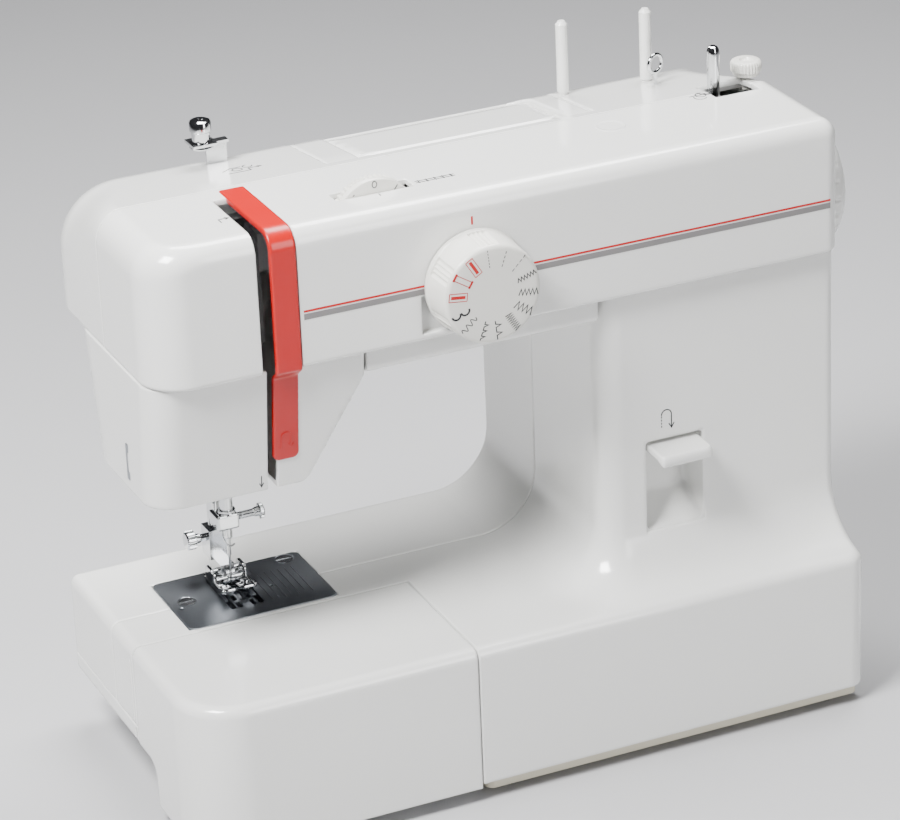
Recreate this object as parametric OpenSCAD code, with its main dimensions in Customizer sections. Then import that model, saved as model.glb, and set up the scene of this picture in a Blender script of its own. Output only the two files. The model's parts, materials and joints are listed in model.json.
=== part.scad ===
// Free-arm sewing machine, built as separate housings, a cast frame and its drive.
// Millimetres, +Z up, front towards -Y, handwheel at +X, feet on z = 0.

/* [Overall] */
// Length of the bed from the free arm's end to the right side
base_l = 345.5; // [300:0.5:420]
// Depth of the machine, front to back
base_d = 167.5; // [160:0.5:200]
// Height of the arm's top above the table
machine_h = 292; // [270:1:330]
// How far the handwheel stands out of the right side
wheel_out = 26; // [22:0.5:34]
// Wall of the plastic housings
wall = 2.8; // [2:0.1:3.2]

/* [Bed] */
// Height of the bed and free arm
bed_z = 80; // [76:0.5:88]
// Height of the free arm's underside
free_arm_z = 27; // [24:0.5:28]
// Length of the free arm and accessory box
free_l = 140.5; // [130:0.5:150]
// Radius of the accessory box's outer corner
box_r = 28; // [10:1:36]
// Radius of the bed's rounded edges
edge_r = 5; // [2:0.5:6]

/* [Column and arm] */
// Width of the column
column_w = 124; // [112:0.5:135]
// Radius between the column and the bed behind the needle
throat_r = 28; // [10:1:32]
// Depth of the arm's cover below its top edge
cover_h = 66; // [60:0.5:70]
// Radius of the arm's rear edge
rear_r = 30; // [15:1:34]
// Width of the head, left to right
head_w = 103; // [98:0.5:110]

/* [Needle and foot] */
// Distance of the needle from the free arm's end
needle_in = 63.5; // [58:0.5:66]
// Diameter of the needle bar and presser bar
bar_d = 6.4; // [6:0.1:7]
// Width of the needle plate
plate_w = 75; // [72:0.5:80]
// Width of the presser foot's sole
sole_w = 18; // [14:0.5:20]

/* [Controls] */
// Diameter of the stitch dial
dial_d = 50; // [40:0.5:54]
// How far the stitch dial stands out
dial_out = 20.5; // [14:0.5:24]
// Diameter of the handwheel
handwheel_d = 66; // [56:1:72]
// Diameter of the thread tension wheel
tension_d = 40; // [34:0.5:44]
// Height of the spool pins above the arm
pin_h = 31; // [20:1:60]
// Diameter of the spool pins
pin_d = 5.8; // [4:0.1:7]

/* [Drive] */
// Diameter of the main shaft
shaft_d = 10; // [8:0.5:11]
// Diameter of the drive pulley on the main shaft
pulley_d = 60; // [50:1:62]
// Diameter of the motor pulley
motor_pulley_d = 12; // [10:0.5:16]
// Diameter of both timing pulleys
timing_d = 24; // [18:1:26]
// Diameter of the motor
motor_d = 46; // [36:1:48]
// Outer diameter of the bobbin
bobbin_d = 20.6; // [18:0.1:22]

/* [Fits] */
// Radial clearance of shafts that turn or slide
run = 0.05; // [0.02:0.01:0.1]
// Gap between neighbouring housings
gap = 0.3; // [0.2:0.05:0.5]

/* [Hidden] */
$fn = 64;
snug = 0.02;
// Ends of the machine
total_l = base_l + wheel_out;
xl = -total_l / 2;
xr = xl + base_l;
yf = -base_d / 2;
yb = base_d / 2;
// Needle, seams and column
nx = xl + needle_in;
ny = yb - 53.6;
bx = xl + free_l;
by = yb - 87.5;
ys = yb - 59.75;
cx = xr - column_w;
cy = yb - 135;
ay = yb - 140;
yr = yb - 77;
lip_z = machine_h - cover_h;
arm_z = lip_z - 12;
hx0 = xl + 2.5;
hx1 = hx0 + head_w;
shell_z = 7;
plate_z = 9;
tray_z = 38;
// Main shaft, lower shaft and hook
sy = yb - 76;
sz = lip_z + 12;
ly = yb - 37.75;
lz = 56;
hz = bed_z - 27;
shaft_r = shaft_d / 2;
low_r = 4;
// Needle bar, presser bar and foot
bar_r = bar_d / 2;
py = ny + 18;
face_z = lip_z - 62;
plate_top = bed_z + 0.5;
plate_under = plate_top - 2.7;
sole_z = plate_top + 1;
brk_z = lip_z - 20;
brk_top = lip_z + 24;
// Needle plate
px0 = nx - 33;
px1 = px0 + plate_w;
py0 = by + 2;
py1 = py0 + 52.8;
scr = [[nx - 24.2, ny - 3.7], [nx + 33.4, py1 - 5.2]];
// Controls
crank_x = nx + 42;
dial_x = (hx1 + cx) / 2 - 6;
dial_z = lip_z + 25;
dial_r = dial_d / 2;
tw_x = nx + 57.5;
tw_r = tension_d / 2;
tw_z = machine_h + 6.5 - tw_r;
tw_y = ay + 23;
tw_t = 8;
tw_s = sqrt(tw_r * tw_r - pow(machine_h - wall - tw_z, 2)) + 0.8;
slot_x0 = nx - 11;
slot_x1 = nx + 9.5;
strip_x0 = nx - 3;
strip_x1 = nx + 9.2;
lev_x0 = cx + 22.75;
lev_x1 = lev_x0 + 30;
lev_z1 = 148;
lev_z0 = 102;
pin_x = [xr - 89.25, xr - 47.25];
pin_y = [yb - 30.75, yb - 35.25];
pin_r = pin_d / 2;
pin_root = pin_r - 0.6;
rear_z = machine_h - 6;
// Bobbin winder: pivot, spindle and stopper
wp = [xr - 13.15, yb - 56.15];
ws = [xr - 31, yb - 73.4];
wz = machine_h - 21;
stop_c = [xr - 8.5, yb - 66.3];
// Carrying handle
han_x0 = hx1 + 12;
han_x1 = han_x0 + 135;
han_w = 13.5;
han_y = yr + 6;
han_t = 7;
// Drive
tim_r = timing_d / 2;
pul_r = pulley_d / 2;
mp_r = motor_pulley_d / 2;
mot_r = motor_d / 2;
mot_y = yb - 83.75;
mot_z = 45;
tim_x = xr - 37;
drv_x = xr - 14;
bob_r = bobbin_d / 2;
door_w = 59.2;

plastic = [0.94, 0.94, 0.92];
steel = [0.72, 0.74, 0.76];
cast = [0.6, 0.61, 0.62];
black = [0.12, 0.12, 0.13];

// ---- helpers ----

// Cylinders along each axis, given by their ends
module xcyl(x0, x1, y, z, r)
  translate([x0, y, z])
    rotate([0, 90, 0])
      cylinder(h = x1 - x0, r = r);

module ycyl(y0, y1, x, z, r)
  translate([x, y1, z])
    rotate([90, 0, 0])
      cylinder(h = y1 - y0, r = r);

module zcyl(z0, z1, x, y, r)
  translate([x, y, z0])
    cylinder(h = z1 - z0, r = r);

// Box given by its ends
module bx3(x0, x1, y0, y1, z0, z1)
  translate([x0, y0, z0])
    cube([x1 - x0, y1 - y0, z1 - z0]);

// Waste piece for rounding one corner of a rectangle
module nick(x, y, a, r)
  translate([x, y])
    rotate(a)
      difference() {
        translate([-1, -1])
          square(r + 1);
        translate([r, r])
          circle(r);
      }

// Rectangle with a radius for each corner, counter-clockwise from the lower left
module rect4(x0, x1, y0, y1, r)
  difference() {
    translate([x0, y0])
      square([x1 - x0, y1 - y0]);
    if (r[0] > 0) nick(x0, y0, 0, r[0]);
    if (r[1] > 0) nick(x1, y0, 90, r[1]);
    if (r[2] > 0) nick(x1, y1, 180, r[2]);
    if (r[3] > 0) nick(x0, y1, 270, r[3]);
  }

// Extrusions of a plan, a front view and a side view
module up(z0, z1)
  translate([0, 0, z0])
    linear_extrude(height = z1 - z0)
      children();

module along_y(y0, y1)
  translate([0, y1, 0])
    rotate([90, 0, 0])
      linear_extrude(height = y1 - y0)
        children();

module along_x(x0, x1)
  translate([x0, 0, 0])
    rotate([90, 0, 90])
      linear_extrude(height = x1 - x0)
        children();

// Block with rounded corners in plan (rp), from the front (rf) and from the side (rs)
module block(x0, x1, y0, y1, z0, z1, rp, rf, rs)
  intersection() {
    up(z0, z1)
      rect4(x0, x1, y0, y1, rp);
    along_y(y0, y1)
      rect4(x0, x1, z0, z1, rf);
    along_x(x0, x1)
      rect4(y0, y1, z0, z1, rs);
  }

// Closed loop round two pulleys, seen from the side
module loop2d(a, ra, b, rb)
  hull() {
    translate(a)
      circle(ra, $fn = 32);
    translate(b)
      circle(rb, $fn = 32);
  }

// ---- housings ----

module base_plate() color([0.85, 0.82, 0.72])
  difference() {
    up(4, plate_z)
      rect4(bx + wall + 0.6, xr - wall - 0.6, yf + wall + 0.6, yb - wall - 0.6, [4, 4, 4, 4]);
    for (p = foot_pos())
      zcyl(3, plate_z + 1, p[0], p[1], 3);
  }

function foot_pos() = [
  [bx + 18, yf + 18], [xr - 18, yf + 18], [bx + 18, yb - 18], [xr - 18, yb - 18]
];

module feet() color(black)
  for (p = foot_pos()) {
    zcyl(0, 4, p[0], p[1], 9);
    zcyl(4, plate_z + 2, p[0], p[1], 3 - snug);
  }

// Front housing: base front, the front strip of the free arm and the column's front
module front_cover() color(plastic)
  difference() {
    union() {
      block(bx, xr, yf, ys, shell_z, bed_z, [0.8, 7, 0, 0], [0, 6, edge_r, 0], [6, 0, 0, edge_r]);
      bx3(xl, bx + 1, by + gap, ys, tray_z + gap, bed_z);
      up(bed_z - edge_r - 1, lip_z - gap)
        rect4(cx, xr, cy, ys, [12, 8, 0, 0]);
      // concave run from the column's front down to the bed
      difference() {
        bx3(cx + 4, xr - 6, cy - 12, cy + 8, bed_z - 1, bed_z + 12);
        xcyl(cx + 3, xr - 5, cy - 12, bed_z + 12, 12);
      }
    }
    bx3(bx + wall, xr - wall, yf + wall, ys + 1, shell_z - 1, bed_z - wall);
    bx3(xl + wall, bx + wall + 1, by + gap + wall, ys + 1, tray_z, bed_z - wall);
    bx3(cx + wall, xr - wall, cy + wall, ys + 1, bed_z - wall - 1, lip_z);
    // needle plate, shuttle door and its pins
    bx3(px0 - gap, px1 + gap, py0 - gap, ys + 1, bed_z - wall - 1, bed_z + 1);
    bx3(nx - door_w / 2 - 0.4, nx + door_w / 2 + 0.4, by, by + gap + wall + 0.1, 41.6, bed_z - 6);
    xcyl(nx - door_w / 2 - 3, nx + door_w / 2 + 3, by + gap + wall / 2, 44, 0.9 + run);
    // sockets for the accessory box's pegs
    for (y = [by - 56, by - 26])
      xcyl(bx - 1, bx + wall + 1, y, 46, 3.3);
    // window for the reverse lever
    bx3(lev_x0 - 1.5, lev_x1 + 1.5, cy - 1, cy + wall + 1, lev_z0 - 1.5, lev_z1 + 1.5);
  }

// Rear housing: back of the free arm, base and column
module rear_cover() color(plastic)
  difference() {
    union() {
      block(bx, xr, ys + gap, yb, shell_z, bed_z, [0, 0, 7, 0], [0, 6, edge_r, 0], [0, 6, edge_r, 0]);
      block(xl, bx + 20, ys + gap, yb, tray_z + gap, bed_z, [0, 0, 0, 4], [0, 0, 0, 2], [0, 0, edge_r, 0]);
      up(bed_z - edge_r - 1, lip_z - gap)
        rect4(cx, xr, ys + gap, yb, [0, 0, 8, 5]);
      // concave run from the column's left side down to the bed
      difference() {
        bx3(cx - throat_r + 0.5, cx + 1, ys + gap, yb - edge_r - 0.5, bed_z - 1, bed_z + throat_r - 0.5);
        ycyl(ys - 1, yb, cx - throat_r, bed_z + throat_r, throat_r);
      }
    }
    bx3(bx + wall, xr - wall, ys - 1, yb - wall, shell_z - 1, bed_z - wall);
    bx3(xl + wall, bx + wall + 1, ys - 1, yb - wall, tray_z, bed_z - wall);
    bx3(cx + wall, xr - wall, ys - 1, yb - wall, bed_z - wall - 1, lip_z);
    bx3(px0 - gap, px1 + gap, ys - 1, py1 + gap, bed_z - wall - 1, bed_z + 1);
    // inlet socket in the right side
    bx3(xr - wall - 1, xr + 1, inlet_y - gap, inlet_y + 26 + gap, 26 - gap, 50 + gap);
  }

inlet_y = yb - 46;

module arm_tray() color(plastic)
  difference() {
    block(xl, bx - gap, by + gap, yb, free_arm_z, tray_z, [0, 0, 0, 4], [5, 0, 0, 0], [0, 5, 0, 0]);
    bx3(xl + wall, bx, by + gap + wall, yb - wall, free_arm_z + wall, tray_z + 1);
  }

module accessory_box() color(plastic) {
  bw = 2.6;
  bxr = bx - 0.4;
  step_y = by - 22.5;
  step_z = free_arm_z + 2;
  difference() {
    block(xl, bxr, yf, by, shell_z, bed_z, [box_r, 1, 0.5, 0.5], [3, 0, 0, 4], [5, 0, 0, edge_r]);
    // raised underside beside the free arm
    along_x(xl - 1, bxr + 1)
      rect4(step_y, by + 1, shell_z - 10, step_z, [0, 0, 0, 6]);
    up(shell_z + bw, bed_z - bw)
      rect4(xl + bw, bxr - bw, yf + bw, step_y - bw, [box_r - bw, 0, 0, 0]);
    bx3(xl + bw, bxr - bw, step_y - bw - 1, by + 1, step_z + bw, bed_z - bw);
  }
  for (y = [by - 56, by - 26])
    xcyl(bxr - 0.5, bx + wall, y, 46, 3);
}

module arm_under_cover() color(plastic)
  difference() {
    bx3(hx1 + gap, cx - gap, cy, yb, arm_z, lip_z - gap);
    bx3(hx1, cx, cy + wall, yb - wall, arm_z + wall, lip_z);
  }

// Side view of the upper front housing, set in by d
module front_side(d)
  rect4(ay + d, yr, lip_z, machine_h - d, [0, 0, 0, 9 - d]);

// Side view of the upper rear housing, set in by d
module rear_side(d) {
  polygon([[yr + gap, lip_z], [yb - rear_r, lip_z], [yb - rear_r, rear_z - d], [yr + gap, machine_h - d]]);
  translate([yb - rear_r - 1, lip_z])
    square([rear_r + 1 - d, rear_z - rear_r - lip_z]);
  intersection() {
    translate([yb - rear_r, rear_z - rear_r])
      circle(rear_r - d);
    translate([yb - rear_r - 1, rear_z - rear_r - 1])
      square(rear_r + 2);
  }
}

module top_cover() color(plastic)
  difference() {
    intersection() {
      along_x(hx0, xr)
        front_side(0);
      up(lip_z, machine_h)
        rect4(hx0, xr, ay, yr, [18, 6, 0, 0]);
      along_y(ay, yr)
        rect4(hx0, xr, lip_z, machine_h, [0, 0, 9, 14]);
    }
    intersection() {
      bx3(hx0 + wall, xr - wall, ay + wall, yr + 1, lip_z - 1, machine_h - wall);
      along_y(ay, yr + 2)
        rect4(hx0 + wall, xr - wall, lip_z - 2, machine_h - wall, [0, 0, 6, 11]);
      up(lip_z - 1, machine_h)
        rect4(hx0 + wall, xr - wall, ay + wall, yr + 2, [15, 3, 0, 0]);
    }
    // thread slot with its red edge, tension wheel, dial shaft, plug, winder
    bx3(slot_x0, slot_x1, ay - 1, yr - 3, lip_z - 1, machine_h + 1);
    bx3(tw_x - tw_s, tw_x + tw_s, tw_y - 0.6, tw_y + tw_t + 0.6, machine_h - wall - 1, machine_h + 1);
    ycyl(ay - 1, ay + wall + 1, dial_x, dial_z, 4 + run);
    zcyl(machine_h - wall - 1, machine_h + 1, xr - 96, ay + 45.5, 7.5 + snug);
    bx3(ws[0] - 5, ws[0] + 18, ws[1] - 12, yr + 1, machine_h - wall - 1, machine_h + 1);
    // shaft passage in the right side
    xcyl(xr - wall - 1, xr + 1, sy, sz, 13);
  }

module top_rear_cover() color(plastic) {
  difference() {
    union() {
      difference() {
        rear_body(0, hx0, xr, lip_z);
        rear_body(wall, hx0 + wall, xr - wall, lip_z - 1);
      }
      // tray under the carrying handle
      intersection() {
        rear_body(wall / 2, hx0, xr, lip_z);
        bx3(han_x0 - 3, han_x1 + 3, han_y - 5, yb, rear_z - 30, machine_h);
        along_x(han_x0 - 3, han_x1 + 3)
          difference() {
            rear_side(1);
            rear_side(han_t + 5);
          }
      }
      // seat of the winder stopper
      bx3(stop_c[0] - 5, stop_c[0] + 6, stop_c[1] - 5, stop_c[1] + 6, machine_h - 7, machine_h + 1.5);
    }
    // handle pocket, open at the back
    along_x(han_x0 - gap, han_x1 + gap)
      intersection() {
        difference() {
          rear_side(-2);
          rear_side(han_t + 2.5);
        }
        translate([han_y - gap, rear_z - 26])
          square([120, 60]);
      }
    // spool pins, winder swing, stopper screw, bracket
    for (i = [0, 1])
      zcyl(rear_z - 30, machine_h + 1, pin_x[i], pin_y[i], pin_root + snug);
    bx3(ws[0] - 5, ws[0] + 18, yr - 1, ws[1] + 6, machine_h - wall - 3, machine_h + 1);
    zcyl(machine_h - 8, machine_h + 2, stop_c[0], stop_c[1], 2 + run);
    bx3(nx + 8, nx + 21, yb - 33, yb - 31, rear_z - 12, machine_h);
    zcyl(machine_h - 14, machine_h + 2, xr - 47.25, yb - 45.25, 0.9 + snug);
    // shaft passage in the right side
    xcyl(xr - wall - 1, xr + 1, sy, sz, 13);
  }
  // pivot pins of the carrying handle
  xcyl(han_x0 - 1, han_x0 + 5, han_y + 4, han_pz, 1.5);
  xcyl(han_x1 - 5, han_x1 + 1, han_y + 4, han_pz, 1.5);
}

// Rounded body of the upper rear housing, set in by d
module rear_body(d, x0, x1, z0)
  intersection() {
    along_x(x0, x1)
      rear_side(d);
    up(z0, machine_h)
      rect4(x0, x1, yr - 1, yb - d, [0, 0, 12 - d, 30 - d]);
    along_y(yr - 2, yb)
      rect4(x0, x1, z0 - 1, machine_h, [0, 0, 9 - d, 14 - d]);
  }

// Lower head housing, open below
module face_cover() color(plastic)
  difference() {
    face_body(0);
    face_body(wall);
    bx3(slot_x0 + 3, strip_x0 + 2, cy - 2, cy + 20, face_z - 1, lip_z);
    ycyl(yb - 40, yb - 26, nx + 14, face_z + 36, 2.5 + run);
    // opening for the thread cutter in the left side
    bx3(hx0 - 1, hx0 + wall + 1, cy + 36, cy + 39, face_z + 6, face_z + 24);
  }

module face_body(d)
  intersection() {
    along_x(hx0 + d, hx1 - d)
      polygon([
        [cy + d, lip_z - gap + d], [cy + 8 + d, face_z - d],
        [yb - 28 - d, face_z - d], [yb - 28 - d, lip_z - gap + d]
      ]);
    along_y(cy - 1, yb)
      polygon([
        [hx0 + d, lip_z - gap + d], [hx0 + d, face_z - d], [nx + 13 - d, face_z - d],
        [hx1 - d, arm_z], [hx1 - d, lip_z - gap + d]
      ]);
    up(face_z - 1 - d, lip_z + d)
      rect4(hx0 + d, hx1 - d, cy + d, yb - 28 - d, [14 - d, 3 - d / 2, 2, 38 - d]);
  }

module red_strip() color([0.9, 0.13, 0.1])
  union() {
    along_x(strip_x0, strip_x1)
      difference() {
        intersection() {
          union() {
            translate([ay - 0.6, lip_z + 0.4])
              square([yr - 3 - ay, cover_h - 9]);
            rect4(ay - 0.6, yr - 3.4, lip_z + 10, machine_h + 0.6, [0, 0, 0, 9]);
          }
          translate([ay - 1, lip_z])
            square([200, 200]);
        }
        rect4(ay + 2, yr, lip_z - 1, machine_h - 2.4, [0, 0, 0, 6]);
      }
    along_x(strip_x0, strip_x1)
      polygon([
        [ay - 0.6, lip_z + 0.4], [ay + 2, lip_z + 0.4], [cy + 0.2, lip_z - 4],
        [cy + 5.4, lip_z - 46], [cy + 4.4, lip_z - 47], [cy - 1.6, lip_z - 4.5]
      ]);
  }

module thread_cutter() color(steel)
  difference() {
    bx3(hx0 - 0.4, hx0 + 8, cy + 36.2, cy + 38.8, face_z + 6.2, face_z + 23.8);
    bx3(hx0 - 1, hx0 + 4, cy + 36, cy + 37.6, face_z + 10, face_z + 20);
  }

module carrying_handle() color(plastic)
  difference() {
    along_x(han_x0, han_x1) {
      intersection() {
        difference() {
          rear_side(0.3);
          rear_side(han_t);
        }
        translate([han_y + 4, rear_z - 22])
          square([120, 60]);
      }
      translate([han_y + 4, han_pz])
        circle(3.8);
    }
    // inner opening of the grip
    along_x(han_x0 + han_w, han_x1 - han_w)
      translate([han_y - 1, rear_z - 12])
        square([yb - 18 - han_y, 60]);
    // pivot holes
    xcyl(han_x0 - 1, han_x0 + 6, han_y + 4, han_pz, 1.5 + run);
    xcyl(han_x1 - 6, han_x1 + 1, han_y + 4, han_pz, 1.5 + run);
  }

han_pz = machine_h - 5.2;

// ---- head: needle, presser foot and thread ----

module needle_plate() color(steel)
  difference() {
    up(plate_under, plate_top)
      rect4(px0, px1, py0, py1, [0.5, 0.5, 6, 6]);
    for (x = [-7, 7])
      bx3(nx + x - 1.4, nx + x + 1.4, ny - 14, ny + 12.5, plate_under - 1, plate_top + 1);
    bx3(nx - 1.4, nx + 1.4, ny - 14, ny - 4, plate_under - 1, plate_top + 1);
    bx3(nx - 1.4, nx + 1.4, ny + 3.5, ny + 12.5, plate_under - 1, plate_top + 1);
    bx3(nx - 3.2, nx + 3.2, ny - 1.3, ny + 1.3, plate_under - 1, plate_top + 1);
    for (p = scr) {
      zcyl(plate_under - 1, plate_top + 1, p[0], p[1], 2.1);
      zcyl(plate_top - 1.5, plate_top + 1, p[0], p[1], 4.4);
    }
    // stitch guide lines
    for (i = [0:4])
      bx3(nx + 13 + 4 * i, nx + 13.4 + 4 * i, ny - 24, ny + 8, plate_top - 0.2, plate_top + 1);
  }

module plate_screws() color(steel)
  for (p = scr)
    difference() {
      union() {
        zcyl(plate_top - 1.5, plate_top - 0.1, p[0], p[1], 4.3);
        zcyl(plate_under - 8, plate_top - 1.5, p[0], p[1], 2);
      }
      bx3(p[0] - 5, p[0] + 5, p[1] - 0.5, p[1] + 0.5, plate_top - 0.8, plate_top + 1);
    }

module feed_dog() color(steel) {
  difference() {
    bx3(nx - 9, nx + 9, ny - 12, ny + 11, plate_under - 3, plate_under - 1);
    bx3(nx - 4.5, nx + 4.5, ny - 5, ny + 4, plate_under - 4, plate_under);
  }
  for (x = [-7, 7])
    teeth(nx + x, ny - 11.5, 10);
  teeth(nx, ny - 11.5, 2);
  teeth(nx, ny + 6, 2);
  bx3(nx - 4, nx + 4, ny + 10, yb - 24, plate_under - 3, plate_under - 1);
}

// One row of teeth, n long
module teeth(x, y, n)
  along_x(x - 0.9, x + 0.9) {
    translate([y, plate_under - 1.5])
      square([2 * n, 3.2]);
    for (i = [0:n - 1])
      polygon([
        [y + 2 * i, plate_under + 1.6], [y + 2 * i + 2, plate_under + 1.6],
        [y + 2 * i + 1.6, plate_top - 0.2]
      ]);
  }

module needle_bar() color(steel)
  difference() {
    zcyl(needle_top, lip_z + 40, nx, ny, bar_r);
    ycyl(ny - 5, ny + 5, nx, lip_z + 37, 1);
  }

needle_top = sole_z + 32.5;

module needle_clamp() color(steel)
  difference() {
    union() {
      zcyl(needle_top - 7, needle_top + 9, nx, ny, bar_r + 2.3);
      xcyl(nx, nx + 13, ny, needle_top + 3, 2.9);
      // thread guide tongue
      bx3(nx - 8, nx, ny - 1.6, ny + 1.6, needle_top - 6.5, needle_top - 5.3);
    }
    zcyl(needle_top, needle_top + 10, nx, ny, bar_r + snug);
    zcyl(needle_top - 8, needle_top + 1, nx, ny, 1 + snug);
    xcyl(nx + 3, nx + 14, ny, needle_top + 3, 1.5 + run);
    zcyl(needle_top - 8, needle_top, nx - 6.4, ny, 0.6);
  }

module clamp_screw() color(steel)
  difference() {
    union() {
      xcyl(nx + bar_r + 0.4, nx + 16, ny, needle_top + 3, 1.5);
      xcyl(nx + 14.6, nx + 18.6, ny, needle_top + 3, 3.9);
    }
    bx3(nx + 17.6, nx + 20, ny - 5, ny + 5, needle_top + 2.6, needle_top + 3.4);
  }

module needle() color(steel)
  difference() {
    union() {
      zcyl(needle_top - 16, needle_top - snug, nx, ny, 1);
      zcyl(sole_z + 3, needle_top - 15.5, nx, ny, 0.55);
      translate([nx, ny, sole_z + 0.4])
        cylinder(h = 2.7, r1 = 0.1, r2 = 0.55);
    }
    ycyl(ny - 2, ny + 2, nx, sole_z + 5, 0.22);
  }

module presser_bar() color(steel)
  union() {
    zcyl(sole_z + 13, brk_top + 22, nx, py, bar_r);
    // collar that the lifting lever acts on
    zcyl(brk_z - 14, brk_z - 8, nx, py, bar_r + 1.2);
  }

module foot_holder() color(steel)
  difference() {
    union() {
      bx3(nx - 5, nx + 5, py - 5.5, py + 5.2, sole_z + 9, sole_z + 24);
      bx3(nx - 3.4, nx + 3.4, ny + 3.6, py + 2, sole_z + 4, sole_z + 9.5);
    }
    zcyl(sole_z + 13, sole_z + 25, nx, py, bar_r + snug);
    xcyl(nx - 6, nx - 2.8, py, sole_z + 19, 1.9 + run);
    xcyl(nx - 6, nx + 6, ny + 7, sole_z + 6.2, 1 + run);
  }

module thumb_screw() color(steel)
  difference() {
    union() {
      xcyl(nx - 13, nx - bar_r - 0.4, py, sole_z + 19, 1.9);
      xcyl(nx - 15.5, nx - 7.5, py, sole_z + 19, 4.6);
    }
    bx3(nx - 18, nx - 14.5, py - 6, py + 6, sole_z + 18.5, sole_z + 19.5);
  }

module presser_foot() color(steel) {
  difference() {
    union() {
      // sole with its toes turned up
      along_x(nx - sole_w / 2, nx + sole_w / 2)
        polygon([
          [ny + 15, sole_z], [ny - 10, sole_z], [ny - 17.5, sole_z + 3],
          [ny - 17.5, sole_z + 4.6], [ny - 10, sole_z + 1.8], [ny + 15, sole_z + 1.8]
        ]);
      for (s = [-1, 1])
        bx3(nx + s * 4.8 - 1, nx + s * 4.8 + 1, ny + 3.5, ny + 11, sole_z + 1.7, sole_z + 8.4);
    }
    bx3(nx - 4, nx + 4, ny - 2.2, ny + 2.2, sole_z - 1, sole_z + 3);
    bx3(nx - 1.6, nx + 1.6, ny - 18, ny - 2, sole_z - 1, sole_z + 6);
  }
  xcyl(nx - 5, nx + 5, ny + 7, sole_z + 6.2, 1);
}

module presser_lever() color(black) {
  z = face_z + 36;
  ycyl(yb - 34, yb - 22, nx + 14, z, 2.5);
  ycyl(yb - 27.4, yb - 21, nx + 14, z, 6);
  translate([nx + 14, 0, z])
    rotate([0, 40, 0])
      bx3(0, 30, yb - 26, yb - 22, -3.5, 3.5);
  translate([nx + 14, 0, z])
    rotate([0, 40, 0])
      bx3(24, 36, yb - 26, yb - 6, -3, 3);
}

module take_up_lever() color(steel)
  difference() {
    union() {
      xcyl(slot_x0 + 2.4, slot_x0 + 6, ny - 16.2, tul_z, 4.6);
      translate([slot_x0 + 2.9, ny - 16.2, tul_z])
        rotate([-30, 0, 0])
          translate([0, -52, -2.2])
            cube([2, 50, 4.4]);
    }
    xcyl(slot_x0, slot_x0 + 8, ny - 16.2, tul_z, 2.4 + run);
    translate([slot_x0, ny - 16.2, tul_z])
      rotate([-30, 0, 0])
        translate([0, -49, 0])
          rotate([0, 90, 0])
            cylinder(h = 8, r = 1.1);
  }

tul_z = lip_z + 34;

module lamp() color([0.95, 0.93, 0.85]) {
  lx = hx0 + 26;
  y = ny - 20;
  zcyl(face_z + 44, face_z + 70, lx, y, 9);
  zcyl(face_z + 24, face_z + 44, lx, y, 7.5);
  translate([lx, y, face_z + 24])
    sphere(7.4);
}

// ---- top parts ----

module spool_pins() color(plastic)
  for (i = [0, 1]) {
    zcyl(rear_z - 14, rear_z + 2, pin_x[i], pin_y[i], pin_root);
    zcyl(rear_z + 1.8, machine_h + pin_h - 1.6, pin_x[i], pin_y[i], pin_r);
    translate([pin_x[i], pin_y[i], machine_h + pin_h - 1.6])
      cylinder(h = 1.6, r1 = pin_r, r2 = pin_r - 1.3);
  }

module wire_loop() color(steel) {
  translate([xr - 47.25, yb - 45.25, machine_h + 6.4])
    rotate([90, 0, 20])
      rotate_extrude()
        translate([4.4, 0])
          circle(0.9);
  zcyl(machine_h - 13, machine_h + 2.2, xr - 47.25, yb - 45.25, 0.9);
}

module pretension_bracket() color(steel)
  difference() {
    union() {
      bx3(nx + 10, nx + 20, yb - 32.6, yb - 31.4, rear_z - 11, machine_h + 6);
      bx3(nx + 2, nx + 20, yb - 36, yb - 31.4, machine_h + 5, machine_h + 6.2);
      bx3(nx + 2, nx + 14, yb - 38, yb - 26, machine_h + 5, machine_h + 6.2);
    }
    zcyl(machine_h + 4, machine_h + 8, nx + 8, yb - 32, 1.5 + snug);
  }

module pretension_knob() color(steel) {
  zcyl(machine_h + 3, machine_h + 16, nx + 8, yb - 32, 1.5);
  zcyl(machine_h + 6.4, machine_h + 7.4, nx + 8, yb - 32, 5.6);
  zcyl(machine_h + 8.2, machine_h + 9.2, nx + 8, yb - 32, 5.2);
  zcyl(machine_h + 11, machine_h + 17, nx + 8, yb - 32, 4.4);
}

module winder_arm() color(steel)
  difference() {
    union() {
      zcyl(wz - 5, wz, wp[0], wp[1], 3);
      zcyl(wz, wz + 3.5, wp[0], wp[1], 6);
      zcyl(wz, wz + 3.5, ws[0], ws[1], 5.5);
      translate([wp[0], wp[1], wz])
        rotate([0, 0, atan2(ws[1] - wp[1], ws[0] - wp[0])])
          translate([0, -4, 0])
            cube([norm(ws - wp), 8, 3.5]);
    }
    zcyl(wz - 1, wz + 5, ws[0], ws[1], 2.4 + run);
  }

module winder_spindle() color(steel)
  difference() {
    union() {
      zcyl(wz, wz + 4, ws[0], ws[1], 2.4);
      zcyl(wz + 4, machine_h + 21, ws[0], ws[1], 3);
      zcyl(machine_h + 2.2, machine_h + 3.4, ws[0], ws[1], 4.4);
    }
    bx3(ws[0] - 0.5, ws[0] + 0.5, ws[1] - 5, ws[1] + 5, machine_h + 15, machine_h + 22);
  }

module winder_tyre() color(black)
  difference() {
    zcyl(wz + 4.6, wz + 9, ws[0], ws[1], 8.5);
    zcyl(wz + 4, wz + 10, ws[0], ws[1], 3 + snug);
  }

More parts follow.
